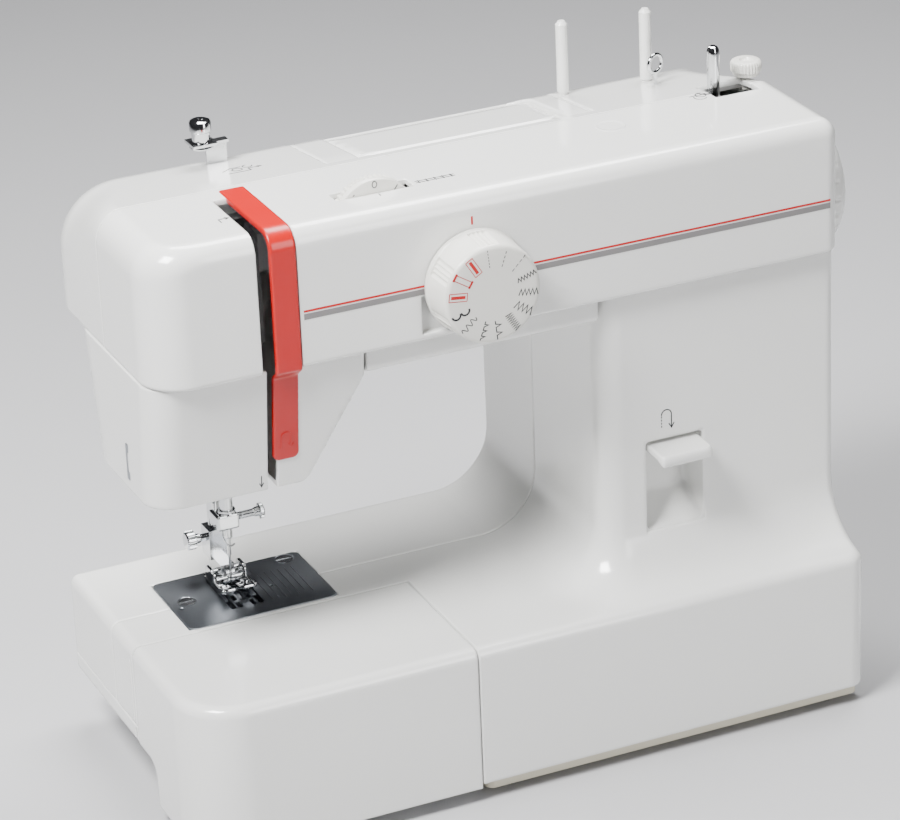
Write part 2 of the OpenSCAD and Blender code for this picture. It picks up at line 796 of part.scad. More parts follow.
module winder_stopper() color([0.9, 0.89, 0.84])
  difference() {
    union() {
      zcyl(machine_h + 1.8, machine_h + 8, stop_c[0] - 1.2, stop_c[1], 7.6);
      zcyl(machine_h - 6.5, machine_h + 2, stop_c[0], stop_c[1], 2);
    }
    zcyl(machine_h + 6.4, machine_h + 9, stop_c[0], stop_c[1], 2.6);
  }

module plug_cap() color(plastic)
  zcyl(machine_h - wall, machine_h + 0.2, xr - 96, ay + 45.5, 7.5);

module tension_unit() color(steel) {
  ycyl(tw_y - 3, tw_y + 26, tw_x, tw_z, 2.4);
  for (y = [0.6, 2.6, 4.6])
    ycyl(tw_y + tw_t + y, tw_y + tw_t + y + 1, tw_x, tw_z, 10);
  bx3(tw_x - 9, tw_x + 9, tw_y + 22, tw_y + 24, tw_z - 10, machine_h - wall);
}

module tension_wheel() color(plastic)
  difference() {
    ycyl(tw_y, tw_y + tw_t, tw_x, tw_z, tw_r);
    ycyl(tw_y - 1, tw_y + tw_t + 1, tw_x, tw_z, 2.4 + run);
    for (a = [0:15:345])
      translate([tw_x, 0, tw_z])
        rotate([0, a, 0])
          ycyl(tw_y - 1, tw_y + 2.6, tw_r + 0.4, 0, 1.2);
  }

// ---- front controls ----

module pattern_dial() color(plastic)
  difference() {
    ycyl(ay - dial_out, ay - 0.6, dial_x, dial_z, dial_r);
    ycyl(ay - dial_out + 3, ay, dial_x, dial_z, dial_r - 3);
    for (a = [0:60:300], b = [-7, 0, 7])
      translate([dial_x, 0, dial_z])
        rotate([0, a + b, 0])
          ycyl(ay - dial_out - 1, ay, dial_r + 0.6, 0, 1.4);
  }

module pattern_cams() color(black) {
  ycyl(ay - dial_out + 3, yr - 12, dial_x, dial_z, 4);
  for (k = [0:3])
    ycyl(ay + 24 + 4 * k, ay + 26.6 + 4 * k, dial_x + (k % 2) * 1.6, dial_z, 12 + (k % 2));
}

module lever_pocket() color(plastic)
  difference() {
    bx3(lev_x0 - 1.5 + snug, lev_x1 + 1.5 - snug, cy + 0.2, cy + 20, lev_z0 - 1.5 + snug, lev_z1 + 1.5 - snug);
    bx3(lev_x0, lev_x1, cy - 1, cy + 18.5, lev_z0, lev_z1);
    xcyl(lev_x0 - 2, lev_x1 + 2, cy + 13, lev_z1 - 5, 2 + run);
  }

module reverse_lever() color(plastic) {
  xcyl(lev_x0 - 1.3, lev_x1 + 1.3, cy + 13, lev_z1 - 5, 2);
  along_x(lev_x0 + 1.2, lev_x1 - 1.2)
    polygon([
      [cy - 14, lev_z1 - 8], [cy - 13.4, lev_z1 - 5], [cy + 10, lev_z1 - 1.4], [cy + 16, lev_z1 - 3],
      [cy + 16, lev_z1 - 7], [cy + 9, lev_z1 - 8], [cy + 2, lev_z1 - 8.6]
    ]);
}

// ---- frame and drive ----

module frame() color(cast)
  difference() {
    union() {
      // foot, column and upper beam
      bx3(xr - 100, xr - 48, yb - 54, yb - 8, plate_z, plate_z + 7);
      bx3(xr - 88, xr - 56, yb - 54, yb - 8, plate_z, lip_z + 36);
      bx3(nx - 12, xr - 8, yb - 30, yb - 22, lip_z + 1, lip_z + 30);
      // main shaft bearings
      for (x = [crank_x - 1, xr - 102, xr - 56])
        bx3(x, x + 8, sy - 10, yb - 22, sz - 10, sz + 10);
      // winder pivot
      bx3(wp[0] - 6, wp[0] + 6, wp[1] - 6, yb - 22, wz - 5, wz - 1);
      bx3(wp[0] - 6, wp[0] + 6, yb - 30, yb - 22, lip_z + 20, wz - 1);
      // head brackets
      bx3(nx - 11, nx + 22, ny - 8, py + 4.4, brk_z, brk_z + 6);
      bx3(nx - 11, nx + 22, ny - 8, yb - 22, brk_top, brk_top + 6);
      bx3(nx + 16, nx + 22, ny - 8, py + 4.4, brk_z, brk_top + 6);
      // take-up pivot
      bx3(nx + 16, nx + 22, ny - 22, ny - 6, brk_top - 2, tul_z + 6);
      xcyl(slot_x0 + 1, nx + 18, ny - 16.2, tul_z, 2.4);
      // bed wall, hook block and lower shaft bearings
      bx3(xl + 10, xr - 56, yb - 18, yb - 8, 42, 70);
      bx3(nx - 18, nx + 18, hook_y + 16, yb - 10, hz - 9, hz + 11);
      for (x = [nx + 26, xr - 98])
        bx3(x, x + 8, ly - 8, yb - 10, lz - 8, lz + 8);
      // needle plate posts
      bx3(scr[0][0] - 5, scr[0][0] + 5, scr[0][1] - 5, yb - 10, 66, 70);
      bx3(scr[1][0] - 5, scr[1][0] + 5, scr[1][1] - 5, yb - 10, 66, 70);
      for (p = scr)
        zcyl(66, plate_under, p[0], p[1], 4.6);
    }
    xcyl(crank_x - 10, xr, sy, sz, shaft_r + run);
    zcyl(brk_z - 1, brk_top + 8, nx, ny, bar_r + run);
    zcyl(brk_z - 1, brk_top + 8, nx, py, bar_r + run);
    xcyl(nx + 20, xr - 50, ly, lz, low_r + run);
    ycyl(hook_y + 14, yb - 20, nx, hz, 4 + run);
    zcyl(wz - 6, wz, wp[0], wp[1], 3 + run);
    for (p = scr)
      zcyl(plate_under - 9, plate_under + 1, p[0], p[1], 2 + snug);
  }

module main_shaft() color(steel)
  union() {
    xcyl(crank_x - 14, xr + wheel_out - 6, sy, sz, shaft_r);
    xcyl(tim_x - 4, tim_x + 4, sy, sz, tim_r);
    difference() {
      xcyl(drv_x - 4, drv_x + 4, sy, sz, pul_r);
      difference() {
        xcyl(drv_x - 2.7, drv_x + 2.7, sy, sz, pul_r + 1);
        xcyl(drv_x - 3, drv_x + 3, sy, sz, pul_r - 3);
      }
    }
  }

module needle_crank() color(steel)
  difference() {
    union() {
      xcyl(crank_x - 13, crank_x - 6, sy, sz, 9);
      intersection() {
        xcyl(crank_x - 13, crank_x - 6, sy, sz, 19);
        bx3(crank_x - 14, crank_x, sy - 30, sy + 30, sz, sz + 30);
      }
      xcyl(crank_x - 20, crank_x - 12, sy, sz - 6.4, 2.4);
    }
    xcyl(crank_x - 14.1, crank_x, sy, sz, shaft_r + snug);
  }

module handwheel() color(plastic)
  difference() {
    union() {
      xcyl(xr + 1.5, xr + wheel_out - 4, sy, sz, handwheel_d / 2);
      xcyl(xr + wheel_out - 4.5, xr + wheel_out - 2, sy, sz, handwheel_d / 2 - 3);
    }
    xcyl(xr, xr + wheel_out, sy, sz, shaft_r + snug);
    xcyl(xr + wheel_out - 6, xr + wheel_out + 1, sy, sz, 15);
    for (a = [0:15:345])
      translate([0, sy, sz])
        rotate([a, 0, 0])
          xcyl(xr + 6, xr + wheel_out - 8, handwheel_d / 2 + 1.2, 0, 2);
  }

module clutch_knob() color(plastic)
  difference() {
    xcyl(xr + wheel_out - 5.7, xr + wheel_out, sy, sz, 14.5);
    bx3(xr + wheel_out - 2, xr + wheel_out + 1, sy - 10, sy - 4, sz - 9, sz + 9);
    bx3(xr + wheel_out - 2, xr + wheel_out + 1, sy + 4, sy + 10, sz - 9, sz + 9);
  }

module lower_shaft() color(steel)
  union() {
    xcyl(nx + 24, tim_x + 6, ly, lz, low_r);
    xcyl(tim_x - 4, tim_x + 4, ly, lz, tim_r);
  }

module timing_belt() color(black)
  along_x(tim_x - 3, tim_x + 3)
    difference() {
      loop2d([sy, sz], tim_r + 1.6, [ly, lz], tim_r + 1.6);
      loop2d([sy, sz], tim_r + 0.3, [ly, lz], tim_r + 0.3);
    }

module drive_belt() color(black)
  along_x(drv_x - 2.2, drv_x + 2.2)
    difference() {
      loop2d([sy, sz], pul_r - 0.4, [mot_y, mot_z], mp_r + 2.6);
      loop2d([sy, sz], pul_r - 2.7, [mot_y, mot_z], mp_r + 0.3);
    }

module motor() color(black)
  difference() {
    union() {
      xcyl(xr - 88, xr - 26, mot_y, mot_z, mot_r);
      xcyl(xr - 26.5, xr - 22, mot_y, mot_z, 9);
      bx3(xr - 80, xr - 34, mot_y - 14, mot_y + 14, plate_z, mot_z);
    }
    xcyl(xr - 40, xr - 20, mot_y, mot_z, 2.5 + run);
  }

module motor_pulley() color(steel)
  union() {
    xcyl(xr - 38, xr - 5, mot_y, mot_z, 2.5);
    xcyl(drv_x - 3, drv_x + 3, mot_y, mot_z, mp_r);
    xcyl(drv_x - 4, drv_x - 2.8, mot_y, mot_z, mp_r + 3.4);
    xcyl(drv_x + 2.8, drv_x + 4, mot_y, mot_z, mp_r + 3.4);
  }

module power_inlet() color(black)
  difference() {
    bx3(xr - 16, xr - 0.2, inlet_y, inlet_y + 26, 26, 50);
    bx3(xr - 12, xr + 1, inlet_y + 3, inlet_y + 23, 30, 46);
  }

// ---- hook and bobbin ----

hook_y = ny - 10.15;

module race_ring() color(steel)
  difference() {
    ycyl(hook_y, hook_y + 16, nx, hz, 21);
    ycyl(hook_y - 1, hook_y + 14, nx, hz, 18.4);
    ycyl(hook_y - 1, hook_y + 17, nx, hz, 4 + 4 * run);
    bx3(nx - 2.5, nx + 2.5, ny - 4, ny + 4, hz + 10, hz + 25);
  }

module hook_driver() color(steel) {
  ycyl(hook_y + 11, yb - 23, nx, hz, 4);
  intersection() {
    ycyl(hook_y + 10.8, hook_y + 13.4, nx, hz, 16);
    bx3(nx - 20, nx + 20, hook_y, hook_y + 20, hz - 20, hz + 2);
  }
}

module shuttle_hook() color(steel)
  difference() {
    ycyl(hook_y + 1, hook_y + 10.5, nx, hz, 18);
    ycyl(hook_y, hook_y + 12, nx, hz, 14.8);
    bx3(nx - 6, nx + 13, hook_y, hook_y + 12, hz + 4, hz + 20);
  }

module bobbin_case() color(steel)
  difference() {
    union() {
      difference() {
        ycyl(hook_y - 10, hook_y + 8, nx, hz, 14.2);
        ycyl(hook_y - 8.6, hook_y + 9, nx, hz, 13);
      }
      ycyl(hook_y - 9, hook_y + 7.5, nx, hz, 2.8);
    }
    bx3(nx + 6, nx + 9, hook_y - 11, hook_y - 8, hz - 4, hz + 4);
  }

module bobbin() color(steel)
  difference() {
    union() {
      ycyl(hook_y - 7.5, hook_y - 6.6, nx, hz, bob_r);
      ycyl(hook_y - 7, hook_y + 4, nx, hz, 5);
      ycyl(hook_y + 3.1, hook_y + 4, nx, hz, bob_r);
    }
    ycyl(hook_y - 8, hook_y + 5, nx, hz, 2.8 + run);
  }

module shuttle_door() color(plastic) {
  bx3(nx - door_w / 2, nx + door_w / 2, by + gap + 0.1, by + gap + wall - 0.4, 42.4, bed_z - 6.4);
  xcyl(nx - door_w / 2 - 2.6, nx + door_w / 2 + 2.6, by + gap + wall / 2, 44, 0.9);
}

base_plate();
feet();
front_cover();
rear_cover();
arm_tray();
accessory_box();
arm_under_cover();
top_cover();
top_rear_cover();
face_cover();
red_strip();
thread_cutter();
carrying_handle();
needle_plate();
plate_screws();
feed_dog();
needle_bar();
needle_clamp();
clamp_screw();
needle();
presser_bar();
foot_holder();
thumb_screw();
presser_foot();
presser_lever();
take_up_lever();
lamp();
spool_pins();
wire_loop();
pretension_bracket();
pretension_knob();
winder_arm();
winder_spindle();
winder_tyre();
winder_stopper();
plug_cap();
tension_unit();
tension_wheel();
pattern_dial();
pattern_cams();
lever_pocket();
reverse_lever();
frame();
main_shaft();
needle_crank();
handwheel();
clutch_knob();
lower_shaft();
timing_belt();
drive_belt();
motor();
motor_pulley();
power_inlet();
race_ring();
hook_driver();
shuttle_hook();
bobbin_case();
bobbin();
shuttle_door();
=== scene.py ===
"""Sewing machine: detailed housings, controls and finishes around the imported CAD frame."""
import json
import math

import bmesh
import bpy
import numpy as np
from mathutils import Matrix, Vector


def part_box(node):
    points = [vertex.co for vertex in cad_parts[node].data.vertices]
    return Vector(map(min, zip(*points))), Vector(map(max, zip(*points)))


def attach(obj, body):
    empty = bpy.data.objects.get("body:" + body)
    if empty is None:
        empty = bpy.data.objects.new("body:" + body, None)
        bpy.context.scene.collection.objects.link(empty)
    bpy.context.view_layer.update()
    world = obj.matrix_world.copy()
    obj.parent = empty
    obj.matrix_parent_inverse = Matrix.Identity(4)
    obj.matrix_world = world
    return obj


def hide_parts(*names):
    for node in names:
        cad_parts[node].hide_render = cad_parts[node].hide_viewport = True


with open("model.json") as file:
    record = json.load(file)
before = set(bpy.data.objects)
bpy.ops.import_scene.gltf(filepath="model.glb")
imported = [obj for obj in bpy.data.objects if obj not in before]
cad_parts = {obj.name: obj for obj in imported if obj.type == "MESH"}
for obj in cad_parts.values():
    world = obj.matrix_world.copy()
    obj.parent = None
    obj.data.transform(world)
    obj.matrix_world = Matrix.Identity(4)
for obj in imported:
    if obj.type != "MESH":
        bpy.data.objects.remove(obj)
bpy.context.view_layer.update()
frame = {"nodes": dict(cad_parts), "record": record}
MM = 0.001
NODES = frame["nodes"]
JOINTS = {j["name"]: j for j in frame["record"]["behaviour"]["joints"]}


def mm_box(node):
    lo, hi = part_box(node)
    return [v / MM for v in lo], [v / MM for v in hi]


# ---------------------------------------------------------------- places, in mm
(XL, _, _), (XR, YS, _) = mm_box("front_cover")
YF = mm_box("accessory_box")[0][1]
BY = mm_box("accessory_box")[1][1]
YB = mm_box("rear_cover")[1][1]
BED = mm_box("accessory_box")[1][2]
SHELL_Z = mm_box("accessory_box")[0][2]
TRAY_LO, TRAY_HI = mm_box("arm_tray")[0][2], mm_box("arm_tray")[1][2]
BX = mm_box("arm_tray")[1][0] + 0.3
CX = mm_box("arm_under_cover")[1][0] + 0.3
HX1 = mm_box("arm_under_cover")[0][0] - 0.3
CY = mm_box("arm_under_cover")[0][1]
ARM_Z = mm_box("arm_under_cover")[0][2]
HX0 = mm_box("top_cover")[0][0]
AY = mm_box("top_cover")[0][1]
YR = mm_box("top_cover")[1][1]
LIP, TOP = mm_box("top_cover")[0][2], mm_box("top_cover")[1][2]
FACE_Z = mm_box("face_cover")[0][2]
(PX0, PY0, _), (PX1, PY1, PLATE_TOP) = mm_box("needle_plate")
(NXA, NYA, _), (NXB, NYB, _) = mm_box("needle_bar")
NX, NY = (NXA + NXB) / 2, (NYA + NYB) / 2
STRIP_X0, STRIP_X1 = mm_box("red_strip")[0][0], mm_box("red_strip")[1][0]
SLOT_X0 = NX - 9.4
(HANX0, HANY0, HANZ0), (HANX1, _, HANZ1) = mm_box("carrying_handle")
(POX0, _, POZ0), (POX1, _, POZ1) = mm_box("lever_pocket")
(DX0, DY0, DZ0), (DX1, DY1, DZ1) = mm_box("pattern_dial")
DIAL_X, DIAL_Z, DIAL_R = (DX0 + DX1) / 2, (DZ0 + DZ1) / 2, (DZ1 - DZ0) / 2
(TWX0, TWY0, _), (TWX1, TWY1, TWZ1) = mm_box("tension_wheel")
SY = sum(v[1] for v in mm_box("main_shaft")) / 2
SZ = sum(v[2] for v in mm_box("main_shaft")) / 2
WALL = 2.8  # housings' wall
SEAM = 0.3  # gap between two housings
FAR = 5.0  # a cutting region's reach past the surface


# ---------------------------------------------------------------- distance fields
def rect2(a, b, a0, a1, b0, b1, radii):
    """Distance to a rectangle with a radius for each corner, counter-clockwise from a0, b0."""
    ca, cb = (a0 + a1) / 2, (b0 + b1) / 2
    left, low = a < ca, b < cb
    r = np.where(low, np.where(left, radii[0], radii[1]), np.where(left, radii[3], radii[2]))
    qa, qb = np.abs(a - ca) - (a1 - a0) / 2 + r, np.abs(b - cb) - (b1 - b0) / 2 + r
    return np.hypot(np.maximum(qa, 0), np.maximum(qb, 0)) + np.minimum(np.maximum(qa, qb), 0) - r


def box3(x, y, z, x0, x1, y0, y1, z0, z1):
    return np.maximum(
        np.maximum(np.abs(x - (x0 + x1) / 2) - (x1 - x0) / 2, np.abs(y - (y0 + y1) / 2) - (y1 - y0) / 2),
        np.abs(z - (z0 + z1) / 2) - (z1 - z0) / 2,
    )


def meet(a, b, r):
    """Intersection with its edge rounded to radius r."""
    if np.isscalar(r) and r == 0:
        return np.maximum(a, b)
    return np.minimum(np.maximum(a, b), -r) + np.hypot(np.maximum(a + r, 0), np.maximum(b + r, 0))


def join(a, b, r):
    """Union with its inner edge filleted to radius r."""
    return np.maximum(np.minimum(a, b), r) - np.hypot(np.maximum(r - a, 0), np.maximum(r - b, 0))


def cut(a, b, r=0.0):
    return meet(a, -b, r)


def smooth01(t):
    t = np.clip(t, 0, 1)
    return t * t * (3 - 2 * t)


def lines(lo, hi, step, *fine):
    """Grid lines, closer together near each (place, half width, step)."""
    out, x = [lo], lo
    while x < hi:
        s = step
        for c, h, f in fine:
            s = min(s, f + 0.3 * max(0.0, abs(x - c) - h))
        x += s
        out.append(x)
    return np.array(out)


def surface(name, field, xs, ys, zs):
    """A closed mesh where the field is zero, with its points moved onto the surface."""
    grid = np.meshgrid(xs, ys, zs, indexing="ij")
    val = field(*grid)
    val = np.where(np.abs(val) < 1e-6, 1e-6, val)
    neg = val < 0
    shape = tuple(n - 1 for n in val.shape)
    total = np.zeros(shape + (3,))
    count = np.zeros(shape)
    quads = []
    for axis in range(3):
        a, b = (axis + 1) % 3, (axis + 2) % 3
        lo = [slice(None)] * 3
        hi = [slice(None)] * 3
        lo[axis], hi[axis] = slice(0, -1), slice(1, None)
        v0, v1 = val[tuple(lo)], val[tuple(hi)]
        idx = np.argwhere(neg[tuple(lo)] != neg[tuple(hi)])
        inner = np.all([(idx[:, d] > 0) & (idx[:, d] < val.shape[d] - 1) for d in (a, b)], axis=0)
        idx = idx[inner]
        t = (v0 / (v0 - v1))[tuple(idx.T)]
        p = np.stack([grid[d][tuple(idx.T)] for d in range(3)], axis=1)
        coords = (xs, ys, zs)[axis]
        p[:, axis] += t * (coords[idx[:, axis] + 1] - coords[idx[:, axis]])
        ring = []
        for da, db in ((-1, -1), (0, -1), (0, 0), (-1, 0)):
            c = idx.copy()
            c[:, a] += da
            c[:, b] += db
            np.add.at(total, tuple(c.T), p)
            np.add.at(count, tuple(c.T), 1)
            ring.append(np.ravel_multi_index(tuple(c.T), shape))
        q = np.stack(ring, axis=1)
        flip = ~neg[tuple(lo)][tuple(idx.T)]
        q[flip] = q[flip][:, ::-1]
        quads.append(q)
    quads = np.concatenate(quads)
    used, faces = np.unique(quads, return_inverse=True)
    faces = faces.reshape(quads.shape)
    pts = (total.reshape(-1, 3)[used]) / count.reshape(-1)[used][:, None]
    h = 0.02
    for _ in range(3):
        v = field(*pts.T)
        g = np.stack(
            [(field(*(pts + h * e).T) - field(*(pts - h * e).T)) / (2 * h) for e in np.eye(3)], axis=1
        )
        g2 = np.maximum((g * g).sum(axis=1), 0.2)
        step = np.clip(v / g2, -0.5, 0.5)[:, None] * g
        pts = pts - step
    mesh = bpy.data.meshes.new(name)
    mesh.from_pydata((pts * MM).tolist(), [], faces.tolist())
    mesh.validate()
    mesh.polygons.foreach_set("use_smooth", [True] * len(mesh.polygons))
    ob = bpy.data.objects.new(name, mesh)
    bpy.context.scene.collection.objects.link(ob)
    sharpen(mesh, 38)
    return ob


def sharpen(mesh, degrees):
    bm = bmesh.new()
    bm.from_mesh(mesh)
    limit = math.radians(degrees)
    for e in bm.edges:
        e.smooth = not (len(e.link_faces) == 2 and e.calc_face_angle(0.0) > limit)
    for f in bm.faces:
        f.smooth = True
    bm.to_mesh(mesh)
    bm.free()


# ---------------------------------------------------------------- materials
def material(name, color, rough, metal=0.0, coat=0.0, spread=0.06, scale=60.0, bump=0.02,
             tint=0.03, grain=None, aniso=0.0):
    """A material whose colour, roughness and relief vary finely, and whose edges are rubbed duller."""
    mat = bpy.data.materials.new(name)
    mat.use_nodes = True
    nt = mat.node_tree
    bsdf = nt.nodes["Principled BSDF"]
    bsdf.inputs["Metallic"].default_value = metal
    bsdf.inputs["Coat Weight"].default_value = coat
    bsdf.inputs["Coat Roughness"].default_value = 0.06
    if aniso:
        bsdf.inputs["Anisotropic"].default_value = aniso
    geo = nt.nodes.new("ShaderNodeTexCoord")
    stretch = nt.nodes.new("ShaderNodeMapping")
    stretch.inputs["Scale"].default_value = grain or (1, 1, 1)
    nt.links.new(geo.outputs["Object"], stretch.inputs["Vector"])
    noise = nt.nodes.new("ShaderNodeTexNoise")
    noise.inputs["Scale"].default_value = scale
    noise.inputs["Detail"].default_value = 6
    nt.links.new(stretch.outputs["Vector"], noise.inputs["Vector"])
    rr = nt.nodes.new("ShaderNodeMapRange")
    rr.inputs["To Min"].default_value = max(rough - spread, 0.02)
    rr.inputs["To Max"].default_value = rough + spread
    nt.links.new(noise.outputs["Fac"], rr.inputs["Value"])
    edge = nt.nodes.new("ShaderNodeNewGeometry")
    rub = nt.nodes.new("ShaderNodeMapRange")
    rub.inputs["From Min"].default_value = 0.52
    rub.inputs["From Max"].default_value = 0.62
    rub.inputs["To Max"].default_value = 0.22
    nt.links.new(edge.outputs["Pointiness"], rub.inputs["Value"])
    worn = nt.nodes.new("ShaderNodeMath")
    worn.operation = "MULTIPLY_ADD"
    nt.links.new(rub.outputs["Result"], worn.inputs[0])
    nt.links.new(noise.outputs["Fac"], worn.inputs[1])
    nt.links.new(rr.outputs["Result"], worn.inputs[2])
    nt.links.new(worn.outputs["Value"], bsdf.inputs["Roughness"])
    broad = nt.nodes.new("ShaderNodeTexNoise")
    broad.inputs["Scale"].default_value = 14
    broad.inputs["Detail"].default_value = 3
    nt.links.new(geo.outputs["Object"], broad.inputs["Vector"])
    ramp = nt.nodes.new("ShaderNodeValToRGB")
    ramp.color_ramp.elements[0].position = 0.3
    ramp.color_ramp.elements[1].position = 0.7
    ramp.color_ramp.elements[0].color = (*[c * (1 - tint) for c in color], 1)
    ramp.color_ramp.elements[1].color = (*[min(c * (1 + tint), 1) for c in color], 1)
    nt.links.new(broad.outputs["Fac"], ramp.inputs["Fac"])
    nt.links.new(ramp.outputs["Color"], bsdf.inputs["Base Color"])
    if bump:
        fine = nt.nodes.new("ShaderNodeTexNoise")
        fine.inputs["Scale"].default_value = scale * 12
        fine.inputs["Detail"].default_value = 2
        nt.links.new(stretch.outputs["Vector"], fine.inputs["Vector"])
        bn = nt.nodes.new("ShaderNodeBump")
        bn.inputs["Strength"].default_value = bump
        bn.inputs["Distance"].default_value = 0.0004
        nt.links.new(fine.outputs["Fac"], bn.inputs["Height"])
        nt.links.new(bn.outputs["Normal"], bsdf.inputs["Normal"])
    return mat


WHITE = material("white_plastic", (0.82, 0.82, 0.80), 0.2, coat=0.6, spread=0.05, bump=0.03, tint=0.012)
OFFWHITE = material("offwhite_plastic", (0.76, 0.75, 0.70), 0.3, coat=0.15, bump=0.05, tint=0.02)
BEIGE = material("beige_plastic", (0.62, 0.58, 0.46), 0.5, bump=0.15)
RED = material("red_plastic", (0.46, 0.002, 0.002), 0.3, coat=0.15, bump=0.03, tint=0.03)
BLACK = material("black_plastic", (0.012, 0.012, 0.013), 0.35, bump=0.15, tint=0.15)
INK = material("black_print", (0.02, 0.02, 0.022), 0.45, bump=0.0, tint=0.2)
REDINK = material("red_print", (0.50, 0.004, 0.004), 0.45, bump=0.0, tint=0.05)
GREYINK = material("grey_print", (0.20, 0.19, 0.19), 0.5, bump=0.0, tint=0.04)
RUBBER = material("black_rubber", (0.015, 0.015, 0.015), 0.7, bump=0.4, tint=0.2, scale=90)
CHROME = material("chrome", (0.66, 0.67, 0.68), 0.08, metal=1.0, spread=0.04, bump=0.01)
STEEL = material("brushed_steel", (0.36, 0.38, 0.41), 0.32, metal=1.0, spread=0.1, bump=0.12,
                 grain=(30, 1, 1), aniso=0.5)
TURNED = material("turned_steel", (0.55, 0.56, 0.58), 0.25, metal=1.0, spread=0.08, bump=0.05)
CAST = material("cast_aluminium", (0.45, 0.46, 0.47), 0.5, metal=0.9, bump=0.5, tint=0.08, scale=120)
LAMP = material("lamp_glass", (0.9, 0.88, 0.8), 0.15, coat=0.5, bump=0.01, tint=0.01)


def dress(ob, mat, body="machine", nodes=()):
    """Material, body and the CAD nodes that a piece stands for."""
    ob.data.materials.clear()
    ob.data.materials.append(mat)
    if nodes:
        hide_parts(*nodes)
    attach(ob, body)
    return ob


def soften(ob, width, segments=2, angle=35):
    """Rounds an object's sharp edges, for light to catch."""
    mod = ob.modifiers.new("edges", "BEVEL")
    mod.width = width * MM
    mod.segments = segments
    mod.limit_method = "ANGLE"
    mod.angle_limit = math.radians(angle)
    mod.use_clamp_overlap = True
    mod.harden_normals = False
    return ob


# ---------------------------------------------------------------- outer forms of the housings
BOX_R, EDGE, RUN_R = 28.0, 5.0, 30.0
RIDGE_DROP = 6.0 / 47.0
FACE_LEAN = 8.0 / 62.0
SLOT_X1 = STRIP_X1 + 0.4
TW_X = (TWX0 + TWX1) / 2
TW_S = math.sqrt((TWX1 - TWX0) ** 2 / 4 - (TOP - WALL - 1 - (TWZ1 - (TWX1 - TWX0) / 2)) ** 2) + 1.2


def bed_form(x, y, z):
    """Bed, free arm and column as one smooth body."""
    column = rect2(x, y, CX, XR + 100, CY, YB + 100, (12, 0, 0, 0))
    mass = join(z - BED, column, RUN_R)
    plan = rect2(x, y, XL, XR, YF, YB, (BOX_R, 9, 8, 4))
    return meet(mass, plan, EDGE)


def top_form(x, y, z):
    """Upper arm and head, whose roof falls slightly behind its ridge."""
    plan = rect2(x, y, HX0, XR, AY, YB, (20, 7, 12, 30))
    roof = z - TOP + np.maximum(y - YR, 0) * RIDGE_DROP
    r = 9 + 20 * smooth01((y - 5) / 55) + 6 * smooth01((HX0 + 30 - x) / 30) * (1 - smooth01((y - 5) / 55))
    return meet(plan, roof, r)


def face_form(x, y, z):
    """Lower head, leaning back at the front and cut away to the right."""
    lean = (z - LIP) * -FACE_LEAN
    back = 60 - (LIP - z) * 0.22
    plan = rect2(x, y - lean, HX0, HX1, CY, 200, (15, 2.5, 0, 0))
    rear = meet(HX0 - x, (y - back) * 0.976, 30)
    side = ((x - HX1) * 50 - (z - ARM_Z) * 29) / math.hypot(50, 29)
    return np.maximum(meet(np.maximum(plan, rear), FACE_Z - z, 1.5), meet(side, FACE_Z - z, 4))


def slab(d, region, r=0.45):
    return meet(d, region, r)


def base_piece(x, y, z, y0, y1):
    """Front or rear housing between two seam planes."""
    d = bed_form(x, y, z)
    right = box3(x, y, z, BX, XR + 5, y0, y1, SHELL_Z + 2.3, LIP - 0.3)
    left = box3(x, y, z, XL - 5, BX + 2, y0, y1, TRAY_HI + 0.3, BED + 5)
    if y0 < BY:
        left = box3(x, y, z, XL - 5, BX + 2, BY + 0.5, y1, TRAY_HI + 0.4, BED + 5)
    shell = slab(d, np.minimum(right, left), 0.8)
    groove = box3(x, y, z, XL - 2, XL + 1.6, BY + 2.4, BY + 3.8, TRAY_HI, BED - 9)
    shell = cut(shell, groove, 0.4)
    shell = cut(shell, d + WALL)
    hold = box3(x, y, z, PX0 - 0.3, PX1 + 0.3, PY0 - 0.3, PY1 + 0.3, BED - 9, BED + 9)
    return cut(shell, hold, 0.3)


DOOR = mm_box("shuttle_door")
INLET = mm_box("power_inlet")


def front_field(x, y, z):
    d = base_piece(x, y, z, YF - 5, YS)
    form = bed_form(x, y, z)
    d = np.minimum(d, slab(form, box3(x, y, z, BX, BX + WALL, YF - 5, BY + 3, SHELL_Z + 2.3, BED + 5)))
    front = BY + SEAM
    rib = box3(x, y, z, XL - FAR, BX + 2, front, front + WALL, TRAY_HI + SEAM, BED + FAR)
    d = np.minimum(d, slab(form, rib))
    window = box3(x, y, z, POX0 + 1.2, POX1 - 1.2, CY - 9, CY + 9, POZ0 + 1.2, POZ1 - 1.2)
    (dx0, _, dz0), (dx1, _, dz1) = DOOR
    door = box3(x, y, z, dx0 - 0.4, dx1 + 0.4, BY - FAR, BY + 4.5, dz0 - 0.4, dz1 + 0.4)
    return cut(cut(d, window, 0.8), door, 0.3)


def rear_field(x, y, z):
    d = base_piece(x, y, z, YS + 0.3, YB + 5)
    (_, iy0, iz0), (_, iy1, iz1) = INLET
    plug = box3(x, y, z, XR - 9, XR + 9, iy0 - SEAM, iy1 + SEAM, iz0 - SEAM, iz1 + SEAM)
    return cut(d, plug, 0.4)


def tray_field(x, y, z):
    d = meet(bed_form(x, y, z), TRAY_LO - z, 5)
    d2 = slab(d, box3(x, y, z, XL - 5, BX - 0.3, BY + 0.5, YB + 5, TRAY_LO - 5, TRAY_HI), 0.6)
    groove = box3(x, y, z, XL - 2, XL + 1.6, BY + 2.4, BY + 3.8, TRAY_LO + 4, TRAY_HI - 2)
    d2 = cut(d2, groove, 0.4)
    inner = np.maximum(d + WALL, box3(x, y, z, XL, BX + 9, BY + 0.3 + WALL, YB, TRAY_LO, TRAY_HI + 9))
    return cut(d2, inner)


